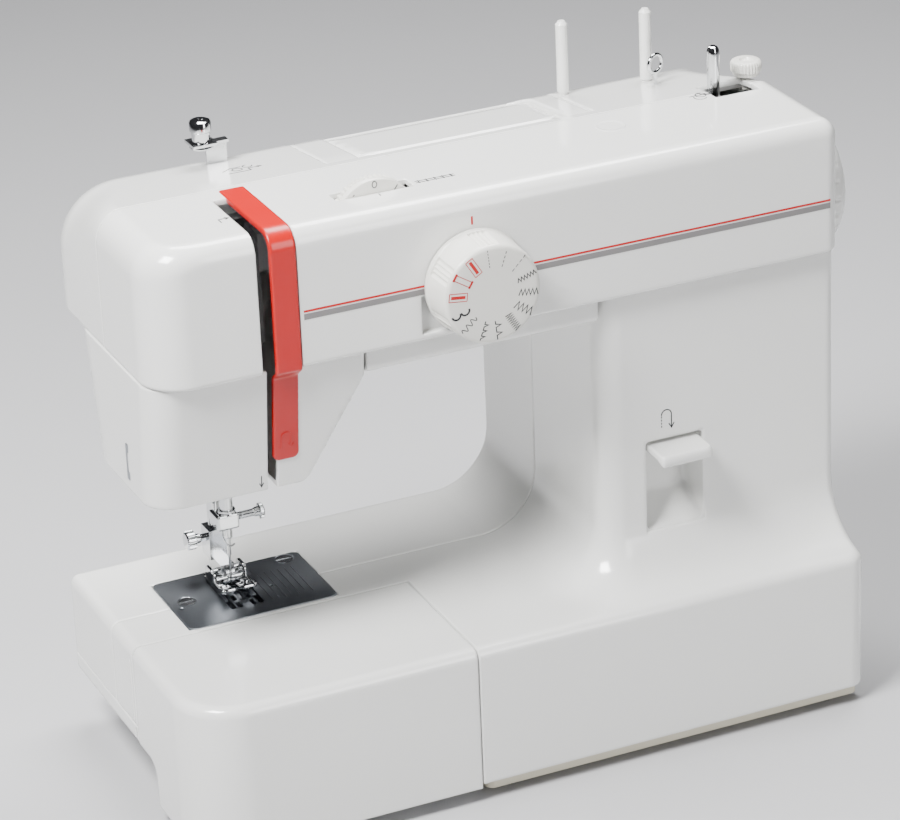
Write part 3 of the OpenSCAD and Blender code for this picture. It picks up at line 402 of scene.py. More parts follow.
def box_field(x, y, z):
    d = bed_form(x, y, z)
    step = rect2(y, z, BY - 22.5, BY + 60, SHELL_Z - 60, 29, (0, 0, 0, 9))
    body = slab(d, box3(x, y, z, XL - 5, BX - 0.5, YF - 5, BY, SHELL_Z, BED + 5), 1.0)
    body = cut(body, step, 1.0)
    inner = np.maximum(body + 2.6, -(step - 2.6))
    inner = np.minimum(inner, box3(x, y, z, XL + 30, BX - 4, BY - 6, BY + 6, 36, BED - 10))
    return cut(body, inner)


def top_holes(x, y, z, d):
    slot = box3(x, y, z, SLOT_X0, SLOT_X1, AY - 9, YR - 13, LIP - 9, TOP + 9)
    d = cut(d, slot, 0.5)
    wheel = box3(x, y, z, TW_X - TW_S, TW_X + TW_S, TWY0 - 0.6, TWY1 + 0.6, TOP - 9, TOP + 9)
    d = cut(d, wheel, 0.4)
    shaft = np.maximum(np.hypot(x - DIAL_X, z - DIAL_Z) - 4.05, np.abs(y - AY) - 9)
    d = cut(d, shaft)
    spin = np.maximum(np.hypot(y - SY, z - SZ) - 13, np.abs(x - XR) - 9)
    return cut(d, spin)


WS = [sum(v[i] for v in mm_box("winder_spindle")) / 2 for i in range(2)]


def top_field(x, y, z):
    form = top_form(x, y, z)
    d = slab(form, box3(x, y, z, HX0 - 5, XR + 5, AY - 5, YR, LIP, TOP + 5), 0.5)
    lip = meet(form, LIP - z, 2.2)
    d = np.maximum(d, lip)
    span = (DIAL_X - 26, DIAL_X + 26)
    tub = box3(x, y, z, span[0] - 2.4, span[1] + 2.4, AY - 9, AY + 6.6, LIP + 1.2, DIAL_Z - 1)
    d = cut(d, np.maximum(np.maximum(form + WALL, y - YR - 20), -tub))
    tub = box3(x, y, z, *span, AY - 9, AY + 4.2, LIP + 3.6, DIAL_Z - 3.4)
    d = cut(d, tub, 0.6)
    d = top_holes(x, y, z, d)
    swing = box3(x, y, z, WS[0] - 5, WS[0] + 18, WS[1] - 12, YR + 9, TOP - 9, TOP + 9)
    return cut(d, swing, 0.5)


_, HINGE_Y, HINGE_Z = (v / MM for v in JOINTS["handle_lift"]["pos_m"])
HINGE_SWEEP = 4.9  # clears the handle's corner as it turns


def grip_gap(x, y):
    """Plan of the opening inside the carrying handle."""
    return rect2(x, y, HANX0 + 17.5, HANX1 - 13, HANY0 - 60, YB - 18, (0, 0, 11, 3))


def top_rear_field(x, y, z):
    form = top_form(x, y, z)
    d = slab(form, box3(x, y, z, HX0 - 5, XR + 5, YR + 0.3, YB + 5, LIP, TOP + 5), 0.5)
    d = np.maximum(d, meet(form, LIP - z, 2.2))
    near = (x > HANX0 - 3) & (x < HANX1 + 3) & (y > HANY0 - 5)
    thick = np.where(near, WALL + 5.0, WALL)
    thick = np.where(((x > XR - 45) | (x < HX0 + 50)) & (y > YR + 12), WALL + 1.8, thick)
    thick = np.where(near & (y < HANY0 + 12), WALL + 8.2, thick)
    d = cut(d, np.maximum(form + thick, YR - 20 - y))
    pocket = np.maximum(box3(x, y, z, HANX0 - 0.3, HANX1 + 0.3, HANY0 - 0.3, YB + 9, HANZ0 - 1, TOP + 9),
                        -(form + 6.0))
    panel = np.maximum(grip_gap(x, y) + 0.5, form + 1.9)
    beside = np.abs(x - (HANX0 + HANX1) / 2) - (HANX1 - HANX0) / 2 - SEAM
    sweep = np.maximum(np.hypot(y - HINGE_Y, z - HINGE_Z) - HINGE_SWEEP, beside)
    pocket = np.minimum(meet(pocket, -panel, 0.6), sweep)
    d = cut(d, pocket, 0.4)
    swing = box3(x, y, z, WS[0] - 5, WS[0] + 18, YR - 9, WS[1] + 7.5, TOP - 12, TOP + 9)
    d = cut(d, swing, 0.5)
    spin = np.maximum(np.hypot(y - SY, z - SZ) - 13, np.abs(x - XR) - 9)
    return cut(d, spin)


def handle_field(x, y, z):
    form = top_form(x, y, z) + 0.3
    d = slab(form, box3(x, y, z, HANX0 + 0.3, HANX1 - 0.3, HANY0 + 0.3, YB + 5, HANZ0, HANZ1), 1.4)
    d = cut(d, form + 5.2)
    return cut(d, grip_gap(x, y) - 0.6, 1.4)


def face_field(x, y, z):
    form = face_form(x, y, z)
    d = meet(form, z - LIP + 0.3, 0.4)
    d = cut(d, np.maximum(form + WALL, -z))
    slot = box3(x, y, z, STRIP_X0 - 2.8, STRIP_X0 + 2, CY - 9, CY + 20, FACE_Z - 9, LIP + 9)
    return cut(d, slot, 0.4)


def under_field(x, y, z):
    d = rect2(y, z, CY, YB - 0.6, ARM_Z, LIP + 40, (4, 8, 0, 0))
    d2 = slab(d, box3(x, y, z, HX1 + 0.3, CX - 0.3, CY - 5, YB + 5, ARM_Z - 5, LIP - 0.3))
    return cut(d2, np.maximum(d + WALL, ARM_Z + WALL - z))


def strip_form(x, y, z):
    t = smooth01((z - LIP + 5.5) / 6)
    face = (CY - y + (LIP - z) * FACE_LEAN) * 0.992
    return top_form(x, y, z) * t + face * (1 - t)


def strip_field(x, y, z):
    d = strip_form(x, y, z)
    band = meet(d - 0.65, -(d + 2.4), 0.6)
    ends = rect2(x, z, STRIP_X0, STRIP_X1, 178.5, TOP + 40, (3, 3, 0, 0))
    d = meet(band, ends, 0.8)
    return meet(d, y - YR + 3.4, 0.6)


def housings():
    """All the moulded housings, each as its own closed mesh on its own body."""
    E = 1.15
    bed_x = [(XL + 1.4, 3, 0.9), (BX + 0.5, 3, 0.5), (CX, 3, 1.0), (CX - 16, 18, 1.5), (XR - 3, 6, 0.9),
             (XL + 10, 12, 1.6), (PX0, 1, 0.6), (PX1, 1, 0.6)]
    bed_z = [(SHELL_Z + 1.5, 1.5, 0.8), (BED - 2, 4.5, 0.8), (BED + 16, 16, 1.5), (TRAY_HI, 1.5, 0.5),
             (LIP - 1, 2, 0.7)]
    made = {}
    made["front_cover"] = (front_field,
        lines(XL - 2, XR + 2, 7, *bed_x, (POX0 + 1, 1, 0.5), (POX1 - 1, 1, 0.5), (CX + 6, 8, 1.3)),
        lines(YF - 2, YS + 2, 7, (YF + 3, 5, 0.9), (BY + 1, 3, 0.6), (CY - 14, 17, 1.5), (CY + 4, 6, 0.8),
              (YS, 1, 0.5), (PY0, 1, 0.6)),
        lines(SHELL_Z - 2, LIP + 1, 8, *bed_z, (POZ0 + 1, 1, 0.5), (POZ1 - 1, 1, 0.5)))
    made["rear_cover"] = (rear_field,
        lines(XL - 2, XR + 2, 7, *bed_x),
        lines(YS - 2, YB + 2, 7, (YB - 3, 5, 0.9), (YS, 1, 0.5), (PY1, 1, 0.6), (INLET[0][1], 1, 0.8),
              (INLET[1][1], 1, 0.8)),
        lines(SHELL_Z - 2, LIP + 1, 8, *bed_z, (INLET[0][2], 1, 0.8), (INLET[1][2], 1, 0.8)))
    made["arm_tray"] = (tray_field,
        lines(XL - 2, BX + 2, 6, (XL + 6, 8, 1.2), (BX, 1.5, 0.6)),
        lines(BY - 2, YB + 2, 6, (BY + 1.5, 3, 0.8), (YB - 5, 8, 1.2)),
        lines(TRAY_LO - 2, TRAY_HI + 2, 1.2, (TRAY_HI, 1, 0.5)))
    made["accessory_box"] = (box_field,
        lines(XL - 2, BX + 2, 6, (XL + 14, 16, 1.2), (BX - 1, 2.5, 0.6)),
        lines(YF - 2, BY + 2, 5, (YF + 14, 16, 1.2), (BY - 1.5, 2.5, 0.6), (BY - 21, 6, 1.0)),
        lines(SHELL_Z - 2, BED + 2, 6, (BED - 2.5, 4, 0.8), (SHELL_Z + 1, 2.5, 0.8), (28, 7, 1.0)))
    made["top_cover"] = (top_field,
        lines(HX0 - 2, XR + 2, 7, (HX0 + 10, 12, 1.1), (XR - 4, 6, 0.9), (SLOT_X0, 1, 0.5), (SLOT_X1, 1, 0.5),
              (TW_X - TW_S, 1, 0.6), (TW_X + TW_S, 1, 0.6), (DIAL_X, 5, 1.0), (DIAL_X - 27, 2, 0.7),
              (DIAL_X + 27, 2, 0.7),
              (WS[0] - 5, 1, 0.6), (WS[0] + 18, 1, 0.6)),
        lines(AY - 2, YR + 2, 5, (AY + 5, 9, 0.8), (YR, 1, 0.4), (TWY0, 1, 0.5), (TWY1, 1, 0.5),
              (WS[1] - 12, 1, 0.6)),
        lines(LIP - 2, TOP + 2, 5, (LIP + 2, 3, 0.7), (TOP - 6, 8, 0.9), (DIAL_Z - 1, 5, 0.9)))
    made["top_rear_cover"] = (top_rear_field,
        lines(HX0 - 2, XR + 2, 7, (HX0 + 16, 18, E), (XR - 6, 8, 1.2), (HANX0, 1, 0.5), (HANX1, 1, 0.5),
              (WS[0] - 5, 1, 0.6), (WS[0] + 18, 1, 0.6)),
        lines(YR - 2, YB + 2, 5, (YR + 0.5, 1, 0.4), (YB - 16, 18, E), (HANY0, 1, 0.5)),
        lines(LIP - 2, TOP + 2, 5, (LIP + 1, 2, 0.7), (TOP - 18, 20, E)))
    made["carrying_handle"] = (handle_field,
        lines(HANX0 - 2, HANX1 + 2, 5, (HANX0 + 1, 2, 0.6), (HANX1 - 1, 2, 0.6), (HANX0 + 17, 1, 0.5),
              (HANX1 - 19, 8, 0.7)),
        lines(HANY0 - 2, YB + 2, 2, (HANY0 + 1, 2, 0.6), (YB - 16, 16, 0.9)),
        lines(HANZ0 - 2, TOP + 2, 1.1))
    made["face_cover"] = (face_field,
        lines(HX0 - 2, HX1 + 2, 5, (HX0 + 8, 10, 1.1), (HX1 - 1, 3, 0.7), (STRIP_X0 - 2.8, 1, 0.5),
              (STRIP_X0 + 2, 1, 0.5), (HX1 - 22, 14, 1.2)),
        lines(CY - 2, 66, 5, (CY + 9, 11, 0.9), (46, 18, 1.5)),
        lines(FACE_Z - 2, LIP + 1, 3.5, (FACE_Z + 2, 3, 0.8), (LIP - 1, 2, 0.6)))
    made["arm_under_cover"] = (under_field,
        lines(HX1 - 2, CX + 2, 7, (HX1 + 1, 1, 0.6), (CX - 1, 1, 0.6)),
        lines(CY - 2, YB + 2, 6, (CY + 3, 4, 0.7), (YB - 5, 6, 0.8)),
        lines(ARM_Z - 2, LIP + 2, 0.8))
    for node, (field, xs, ys, zs) in made.items():
        ob = surface(node + "_moulding", field, xs, ys, zs)
        body = {"accessory_box": "extension_box", "carrying_handle": "handle"}.get(node, "machine")
        dress(ob, WHITE, body, (node,))
    strip = surface("red_thread_guide", strip_field,
                    lines(STRIP_X0 - 2, STRIP_X1 + 2, 1.6, (STRIP_X0 + 1, 2.5, 0.5), (STRIP_X1 - 1, 2.5, 0.5)),
                    lines(AY - 3, YR + 1, 1.6, (AY + 5, 9, 0.6)),
                    lines(176, TOP + 3, 2.2, (179, 4, 0.5), (LIP - 2, 6, 0.5), (TOP - 4, 8, 0.6)))
    dress(strip, RED, "machine", ("red_strip",))


housings()


# ---------------------------------------------------------------- turned, moulded and printed details
def new_object(name, bm, smooth=30):
    mesh = bpy.data.meshes.new(name)
    bmesh.ops.recalc_face_normals(bm, faces=bm.faces)
    bm.to_mesh(mesh)
    bm.free()
    ob = bpy.data.objects.new(name, mesh)
    bpy.context.scene.collection.objects.link(ob)
    sharpen(mesh, smooth)
    return ob


AXES = {"x": (Vector((0, 1, 0)), Vector((0, 0, 1)), Vector((1, 0, 0))),
        "y": (Vector((1, 0, 0)), Vector((0, 0, 1)), Vector((0, 1, 0))),
        "z": (Vector((1, 0, 0)), Vector((0, 1, 0)), Vector((0, 0, 1)))}


def lathe(name, centre, axis, profile, steps=96, ribs=None, smooth=30):
    """A turned solid. profile is (radius, height) in mm from end to end; ribs changes a radius by angle."""
    u, v, n = AXES[axis]
    c = Vector(centre)
    bm = bmesh.new()
    rings = []
    for r, h in profile:
        if r <= 0:
            rings.append([bm.verts.new((c + n * h) * MM)])
            continue
        ring = []
        for k in range(steps):
            a = 2 * math.pi * k / steps
            rr = r - (ribs(a, r, h) if ribs else 0)
            ring.append(bm.verts.new((c + u * rr * math.cos(a) + v * rr * math.sin(a) + n * h) * MM))
        rings.append(ring)
    for p, q in zip(rings, rings[1:]):
        for k in range(steps):
            j = (k + 1) % steps
            if len(p) == 1:
                bm.faces.new((p[0], q[k], q[j]))
            elif len(q) == 1:
                bm.faces.new((p[k], p[j], q[0]))
            else:
                bm.faces.new((p[k], p[j], q[j], q[k]))
    for ring in (rings[0], rings[-1]):
        if len(ring) > 1:
            bm.faces.new(ring)
    return new_object(name, bm, smooth)


def ribbons(name, paths, origin, u, v, mat, body="machine", thick=0.1, sink=0.25):
    """Printed or inlaid line work: each path is (points, line width) in the plane of u and v."""
    o, u, v = Vector(origin), Vector(u).normalized(), Vector(v).normalized()
    n = u.cross(v)
    bm = bmesh.new()
    for pts, width in paths:
        pts = [Vector((*p, 0)) for p in pts]
        left, right = [], []
        for i, p in enumerate(pts):
            a = (pts[i] - pts[i - 1]).normalized() if i else None
            b = (pts[i + 1] - pts[i]).normalized() if i + 1 < len(pts) else None
            t = ((a or b) + (b or a)).normalized()
            side = Vector((-t.y, t.x, 0))
            fit = 1 / max(0.45, side.dot(Vector((-(b or a).y, (b or a).x, 0))))
            left.append(p + side * width / 2 * fit)
            right.append(p - side * width / 2 * fit)
        loops = []
        for lift in (thick, -sink):
            loops.append([[bm.verts.new((o + u * q.x + v * q.y + n * lift) * MM) for q in row]
                          for row in (left, right)])
        (lt, rt), (lb, rb) = loops
        for i in range(len(pts) - 1):
            bm.faces.new((lt[i], lt[i + 1], rt[i + 1], rt[i]))
            bm.faces.new((lb[i], rb[i], rb[i + 1], lb[i + 1]))
            bm.faces.new((lt[i], lb[i], lb[i + 1], lt[i + 1]))
            bm.faces.new((rt[i], rt[i + 1], rb[i + 1], rb[i]))
        bm.faces.new((lt[0], rt[0], rb[0], lb[0]))
        bm.faces.new((lt[-1], lb[-1], rb[-1], rt[-1]))
    return dress(new_object(name, bm), mat, body)


def arc(cx, cy, r, a0, a1, n=14):
    return [(cx + r * math.cos(math.radians(a0 + (a1 - a0) * i / n)),
             cy + r * math.sin(math.radians(a0 + (a1 - a0) * i / n))) for i in range(n + 1)]


def zigzag(length, width, teeth):
    return [(length * i / teeth - length / 2, width / 2 * (1 if i % 2 else -1)) for i in range(teeth + 1)]


def stitch_icons():
    """Generic stitch symbols, each drawn along a short radial line: (red, paths)."""
    out = []
    for k in range(3):
        w, l = 1.9, 4.4
        paths = [([(-l, -w), (-l, w)], 0.35), ([(l, -w), (l, w)], 0.35), ([(-l, w), (l, w)], 0.35),
                 ([(-l, -w), (l, -w)], 0.35), ([(-l * 0.8, 0), (l * 0.8, 0)], 1.5)]
        if k == 1:
            paths = [([(-l, -w), (-l, w)], 1.0), ([(l, -w), (l, w)], 1.0),
                     ([(-l, w * 0.7), (l, w * 0.7)], 0.35), ([(-l, -w * 0.7), (l, -w * 0.7)], 0.35)]
        out.append((True, paths))
    for k in range(3):
        step = 1.5 + 0.55 * k
        n = int(8 / step)
        starts = [-4 + i * step for i in range(n + 1)]
        out.append((False, [([(a, 0), (a + step * 0.6, 0)], 0.32) for a in starts]))
    for k in range(3):
        out.append((False, [(zigzag(9.5, 2.0 + 0.9 * k, 12 - 2 * k), 0.5)]))
    out.append((False, [(zigzag(9, 3.2, 16), 0.55)]))
    peaks = [(-4.6, -1), (-3, -1), (-2.2, 1.6), (-1.4, -1), (0.9, -1), (1.7, 1.6), (2.5, -1), (4.6, -1)]
    out.append((False, [(peaks, 0.5)]))
    steps = [(-4.6, 0), (-3.2, 0), (-3.2, 1.9), (-2, 0), (-0.4, 0), (-0.4, 1.9), (0.8, 0), (2.4, 0), (2.4, 1.9),
             (3.6, 0), (4.6, 0)]
    out.append((False, [(steps, 0.5)]))
    wave = [(-4.6 + 9.2 * i / 36, 1.3 * math.sin(i / 36 * 6 * math.pi)) for i in range(37)]
    out.append((False, [(wave, 0.4)]))
    out.append((False, [(arc(-2.4, 0, 2.1, 180, 0), 0.9), (arc(2.2, 0, 2.1, 180, 0), 0.9)]))
    return out


def grip_groups(depth, groups, per_group, pitch_deg, limit_low, limit_high):
    """Rounded grooves in groups round a wheel, between two heights."""
    def ribs(a, r, h):
        if not limit_low < h < limit_high:
            return 0
        deg = math.degrees(a) % (360 / groups) - 180 / groups
        if abs(deg) > per_group * pitch_deg / 2:
            return 0
        return depth * abs(math.sin(math.pi * deg / pitch_deg)) ** 0.7
    return ribs


def pattern_dial():
    r, h = DIAL_R, DY1 - DY0
    f = 0.08
    profile = [(r - 3.2, h - 0.2), (r - 0.4, h - 0.2), (r - f, h - 0.6), (r - f, h - 2.4), (r - 0.5, h - 2.8),
               (r - 0.55, h - 3.2)]
    profile += [(r - 0.6 - 0.9 * t / 12, h - 3.4 - (h - 5.2) * t / 12) for t in range(13)]
    profile += [(r - 1.6, 1.6), (r - 1.8, 1.0), (r - 2.3, 0.45), (r - 3.0, 0.12), (r - 3.8, 0.0), (r - 8, 0.0),
                (0, 0)]
    profile = [(r - 3.4, h - 3), *profile]
    dial = lathe("stitch_dial_cap", (DIAL_X, DY0, DIAL_Z), "y", profile, 360,
                 grip_groups(1.1, 6, 4, 5.2, 1.7, h - 3.3), 40)
    dress(dial, OFFWHITE, "stitch_dial", ("pattern_dial",))
    red, black = [], []
    for k, (is_red, paths) in enumerate(stitch_icons()):
        a = math.radians(173 - k * 360 / 14)
        er, et = Vector((math.cos(a), math.sin(a))), Vector((-math.sin(a), math.cos(a)))
        for pts, w in paths:
            (red if is_red else black).append(([tuple(er * (17.3 + p[0]) + et * p[1]) for p in pts], w))
    face = (DIAL_X, DY0, DIAL_Z)
    ribbons("dial_stitch_marks", black, face, (1, 0, 0), (0, 0, 1), INK, "stitch_dial", thick=0.06)
    ribbons("dial_buttonhole_marks", red, face, (1, 0, 0), (0, 0, 1), REDINK, "stitch_dial", thick=0.06)


def front_prints():
    front = (0, AY, 0)
    x, z = (1, 0, 0), (0, 0, 1)
    zs = LIP + 26.8
    left, right = (STRIP_X1 + 2.2, DIAL_X - 22), (DIAL_X + 22, XR - 5.5)
    ribbons("red_line", [([(a, zs), (b, zs)], 1.0) for a, b in (left, right)]
            + [([(DIAL_X, DZ1 + 1.4), (DIAL_X, DZ1 + 5.4)], 0.9)], front, x, z, REDINK)
    band = [([(a, zs - 2.6), (b, zs - 2.6)], 2.8) for a, b in (left, right)]
    ribbons("grey_band", band, front, x, z, GREYINK)
    px = (POX0 + POX1) / 2
    arrow = [([(px - 2.6, 157.5 + 1.6 * i), (px - 2.6, 158.4 + 1.6 * i)], 0.55) for i in range(4)]
    arrow += [(arc(px, 163.6, 2.6, 180, 0), 0.55), ([(px + 2.6, 163.6), (px + 2.6, 157)], 0.55),
              ([(px + 1.2, 159), (px + 2.6, 156.6), (px + 4, 159)], 0.55)]
    arrow = [([(a - 4, b - 3.5) for a, b in pts], w) for pts, w in arrow]
    ribbons("reverse_mark", arrow, (0, CY, 0), x, z, INK)
    lean = Vector((0, FACE_LEAN, -1)).normalized()
    stem = STRIP_X0 - 6
    small = [([(stem, 54), (stem, 59.4)], 0.45), ([(stem - 1, 57.8), (stem, 59.8), (stem + 1, 57.8)], 0.45)]
    ribbons("threading_mark", [([(a, -b) for a, b in pts], w) for pts, w in small], (0, CY, LIP), x, -lean, INK)
    embossed = [(arc(STRIP_X0 + 6, 190, 2.4, 180, 0), 0.7),
                ([(STRIP_X0 + 3.6, 190), (STRIP_X0 + 3.6, 184)], 0.7),
                ([(STRIP_X0 + 8.4, 190), (STRIP_X0 + 8.4, 185)], 0.7),
                ([(STRIP_X0 + 7, 186.4), (STRIP_X0 + 8.4, 184), (STRIP_X0 + 9.8, 186.4)], 0.7)]
    ribbons("strip_arrow", [([(a, b - LIP) for a, b in pts], w) for pts, w in embossed],
            (0, CY - 0.62, LIP), x, -lean, RED, "machine", 0.35, 0.4)


def top_prints():
    """Threading and tension symbols on the roof, ahead of the ridge and behind it."""
    x, y = (1, 0, 0), (0, 1, 0)
    cx0 = TWX1 + 2.5
    cy0 = (TWY0 + TWY1) / 2 - 1.5
    rung = [([(cx0 + 4 * i, cy0 - 1.7), (cx0 + 4 * i, cy0 + 1.7)], 0.55) for i in range(5)]
    rails = [([(cx0 - 1.6, cy0 + s), (cx0 + 17.6, cy0 + s)], 0.5) for s in (-0.9, 0.9)]
    hook = [([(SLOT_X0 - 6, AY + 24), (SLOT_X0 - 6, AY + 28), (SLOT_X0 - 1.5, AY + 28)], 0.5),
            ([(SLOT_X0 - 3, AY + 26.8), (SLOT_X0 - 1.2, AY + 28), (SLOT_X0 - 3, AY + 29.2)], 0.45)]
    wx, wy = WS[0] - 10, WS[1] - 6
    spool = [(arc(wx, wy, 2.6, 0, 360, 22), 0.45), (arc(wx + 3.4, wy + 2.6, 3.6, 200, 420, 20), 0.45),
             ([(wx - 6, wy), (wx + 6.5, wy)], 0.4), (arc(wx - 1.5, wy - 2.4, 3.0, 150, 330, 14), 0.4)]
    ribbons("roof_marks", rung + rails + hook + spool, (0, 0, TOP), x, y, INK)
    tilt = Vector((0, 1, -RIDGE_DROP)).normalized()
    bx, by = SLOT_X0 + 24, 28.0
    guide = [([(bx - 3, by), (bx + 8, by), (bx + 8, by + 4), (bx + 14, by + 4)], 0.45),
             (arc(bx + 3, by + 5, 2.4, 0, 360, 20), 0.45), (arc(bx + 9, by + 8, 2.2, 90, 360, 16), 0.45),
             ([(bx - 4, by + 5), (bx + 1, by + 9), (bx + 6, by + 9)], 0.4),
             ([(bx + 12.4, by + 3), (bx + 14.4, by + 4), (bx + 12.4, by + 5)], 0.4)]
    ribbons("rear_roof_marks", [([(a, b - YR) for a, b in pts], w) for pts, w in guide],
            (0, YR, TOP), x, tilt, INK)


def tension_dial():
    cx, cz, r, w = (TWX0 + TWX1) / 2, TWZ1 - (TWX1 - TWX0) / 2, (TWX1 - TWX0) / 2, TWY1 - TWY0
    def ribs(a, rr, h):
        return 0.9 * (1 - abs(math.cos(27 * a))) if rr > r - 1.2 and h > w * 0.42 else 0
    profile = [(0, 0), (r - 1.6, 0), (r - 0.5, 0.3), (r - 0.05, 1.1), (r - 0.05, w * 0.36), (r - 0.6, w * 0.4),
               (r - 0.6, w * 0.44), (r - 0.1, w * 0.48), (r - 0.1, w - 0.9), (r - 0.8, w - 0.2), (r - 1.6, w),
               (0, w)]
    wheel = lathe("tension_dial_wheel", (cx, TWY0, cz), "y", profile, 324, ribs, 30)
    dress(wheel, OFFWHITE, "tension", ("tension_wheel",))
    marks = []
    for k in range(10):
        a = math.radians(90 - 36 * k)
        er, et = Vector((math.cos(a), math.sin(a))), Vector((math.sin(a), -math.cos(a)))
        glyph = {0: [arc(0, 0, 1, 0, 360, 16)], 1: [[(0, -1), (0, 1)]], 7: [[(-0.7, 1), (0.7, 1), (-0.2, -1)]],
                 4: [[(0.4, -1), (0.4, 1), (-0.7, -0.3), (0.8, -0.3)]]}.get(k, [[(-0.5, 0), (0.5, 0)]])
        for g in glyph:
            pts = [tuple(er * (r - 2.6 + p[1] * 1.5) + et * p[0] * 1.1) for p in g]
            marks.append((pts, 0.42))
    tick = [([(cx + 1, TWY0 - 4.4), (cx + 1, TWY0 - 2)], 0.5)]
    ribbons("tension_index", tick, (0, 0, TOP), (1, 0, 0), (0, 1, 0), INK)
    ribbons("tension_numbers", marks, (cx, TWY0, cz), (1, 0, 0), (0, 0, 1), INK, "tension", thick=0.05)


def wheels():
    lo, hi = mm_box("handwheel")
    r, w = (hi[2] - lo[2]) / 2, hi[0] - lo[0]
    profile = [(5.2, 0), (r - 5, 0), (r - 2.5, 0.5), (r - 0.8, 1.8), (r - 0.1, 4)]
    profile += [(r - 0.05, 4.5 + (w - 12) * t / 6) for t in range(7)]
    profile += [(r - 0.5, w - 5.6), (r - 1.8, w - 3.2), (r - 4.2, w - 1.2), (r - 7, w - 0.2), (r - 9, w),
                (r - 12, w - 0.3), (15.6, w - 1.0), (15.1, w - 1.6), (15.05, w - 3.6), (5.2, w - 3.7)]
    def ribs(a, rr, h):
        if rr < r - 1 or not 3 < h < w - 6:
            return 0
        return 1.15 * max(0.0, math.cos(24 * a)) ** 3
    wheel = lathe("balance_wheel", (lo[0], SY, SZ), "x", profile, 288, ribs, 34)
    dress(wheel, WHITE, "drive", ("handwheel",))
    lo, hi = mm_box("clutch_knob")
    kr, kw = (hi[2] - lo[2]) / 2, hi[0] - lo[0]
    def flutes(a, rr, h):
        return 0.55 * max(0.0, math.cos(18 * a)) if rr > kr - 1 and h > 2 else 0
    profile = [(0, 0), (kr - 0.1, 0), (kr - 0.1, 2.1), (kr - 0.2, kw - 1.6), (kr - 0.9, kw - 0.5), (kr - 2, kw),
               (kr - 3.4, kw), (kr - 4.2, kw - 0.8), (4.5, kw - 1.4), (0, kw - 1.5)]
    knob = lathe("clutch_knob_cap", (lo[0], SY, SZ), "x", profile, 216, flutes, 32)
    dress(knob, WHITE, "clutch", ("clutch_knob",))


def knurled(name, node, axis, sign, body, head, neck, disc=4.6):
    """A thumb screw: knurled head of the given length, collar and threaded neck along its axis."""
    lo, hi = mm_box(node)
    i = "xyz".index(axis)
    c = [(a + b) / 2 for a, b in zip(lo, hi)]
    length = hi[i] - lo[i]
    c[i] = lo[i] if sign > 0 else hi[i]
    def ribs(a, rr, h):
        return 0.35 * abs(math.sin(14 * a)) if rr > head - 0.6 else 0
    profile = [(0, length), (head * 0.5, length), (head - 0.9, length - 0.25), (head - 0.05, length - 1.0),
               (head - 0.05, length - disc), (head - 0.8, length - disc - 0.5),
               (neck + 0.5, length - disc - 0.7),
               (neck + 0.4, length - disc - 2.6), (neck, length - disc - 2.8)]
    turns = int((length - disc - 3.4) / 0.7)
    for t in range(turns):
        z0 = length - disc - 3.4 - 0.7 * t
        profile += [(neck, z0), (neck - 0.22, z0 - 0.35)]
    profile += [(neck - 0.3, 0.3), (0, 0)]
    profile = [(r, h * sign) for r, h in profile]
    screw = lathe(name, c, axis, profile, 84, ribs, 35)
    dress(screw, CHROME, body, (node,))


def top_fittings():
    lo, hi = mm_box("winder_stopper")
    cx, cy, r, h = (lo[0] + hi[0]) / 2, (lo[1] + hi[1]) / 2, (hi[0] - lo[0]) / 2, hi[2] - lo[2]
    def ribs(a, rr, z):
        return 0.4 * abs(math.sin(15 * a)) if rr > r - 0.9 and z > h - 5.4 else 0
    profile = [(0, 0), (2, 0), (2, 6.5), (r - 2.6, 6.8), (r - 1.2, 7.4), (r - 0.9, h - 5.6), (r - 0.1, h - 5),
               (r - 0.1, h - 1.4), (r - 0.7, h - 0.4), (r - 1.6, h), (3.2, h), (2.6, h - 0.9), (0, h - 1)]
    dress(lathe("winder_stopper_cap", (cx, cy, lo[2]), "z", profile, 240, ribs, 34), OFFWHITE, "stopper",
          ("winder_stopper",))
    lo, hi = mm_box("winder_spindle")
    cx, cy, h = (lo[0] + hi[0]) / 2, (lo[1] + hi[1]) / 2, hi[2] - lo[2]
    def slit(a, rr, z):
        return 0.7 * max(0.0, math.cos(2 * a)) ** 24 if z > h - 12 else 0
    base = (hi[0] - lo[0]) / 2
    profile = [(0, 0), (base - 0.2, 0), (base - 0.2, 2), (2.98, 2.2), (2.98, 13), (base - 0.4, 13.2),
               (base - 0.1, 13.8), (base - 0.1, 15.6), (base - 0.6, 16.4), (3.0, 16.8), (3.0, 24)]
    tip = [(3.0, h - 17), (3.0, h - 12), (3.05, h - 11), (3.05, h - 4), (2.9, h - 2), (2.2, h - 0.6), (1.2, h),
           (0, h)]
    profile = [p for p in profile if p[1] < h - 17] + tip
    dress(lathe("winder_spindle_pin", (cx, cy, lo[2]), "z", profile, 96, slit, 32), CHROME, "spindle",
          ("winder_spindle",))
    lo, hi = mm_box("pretension_knob")
    cx, cy, h, r = (lo[0] + hi[0]) / 2, (lo[1] + hi[1]) / 2, hi[2] - lo[2], (hi[0] - lo[0]) / 2
    profile = [(0, 0), (r - 0.8, 0), (r, 0.4), (r, 0.9), (r - 1.6, 1.4), (r - 1.6, 2.0), (r, 2.6), (r, 3.1),
               (r - 1.2, 3.6), (r - 1.2, h - 6), (r - 0.5, h - 5.4), (r - 0.5, h - 1.6), (r - 1.0, h - 0.7),
               (r - 2.2, h - 0.1), (1.6, h), (1.2, h - 0.8), (0, h - 0.8)]
    knob = lathe("pretension_knob_cap", (cx, cy, lo[2]), "z", profile, 96, None, 32)
    dress(knob, CHROME, "machine", ("pretension_knob",))
    pins = NODES["spool_pins"]
    pins.data.materials.clear()
    pins.data.materials.append(WHITE)


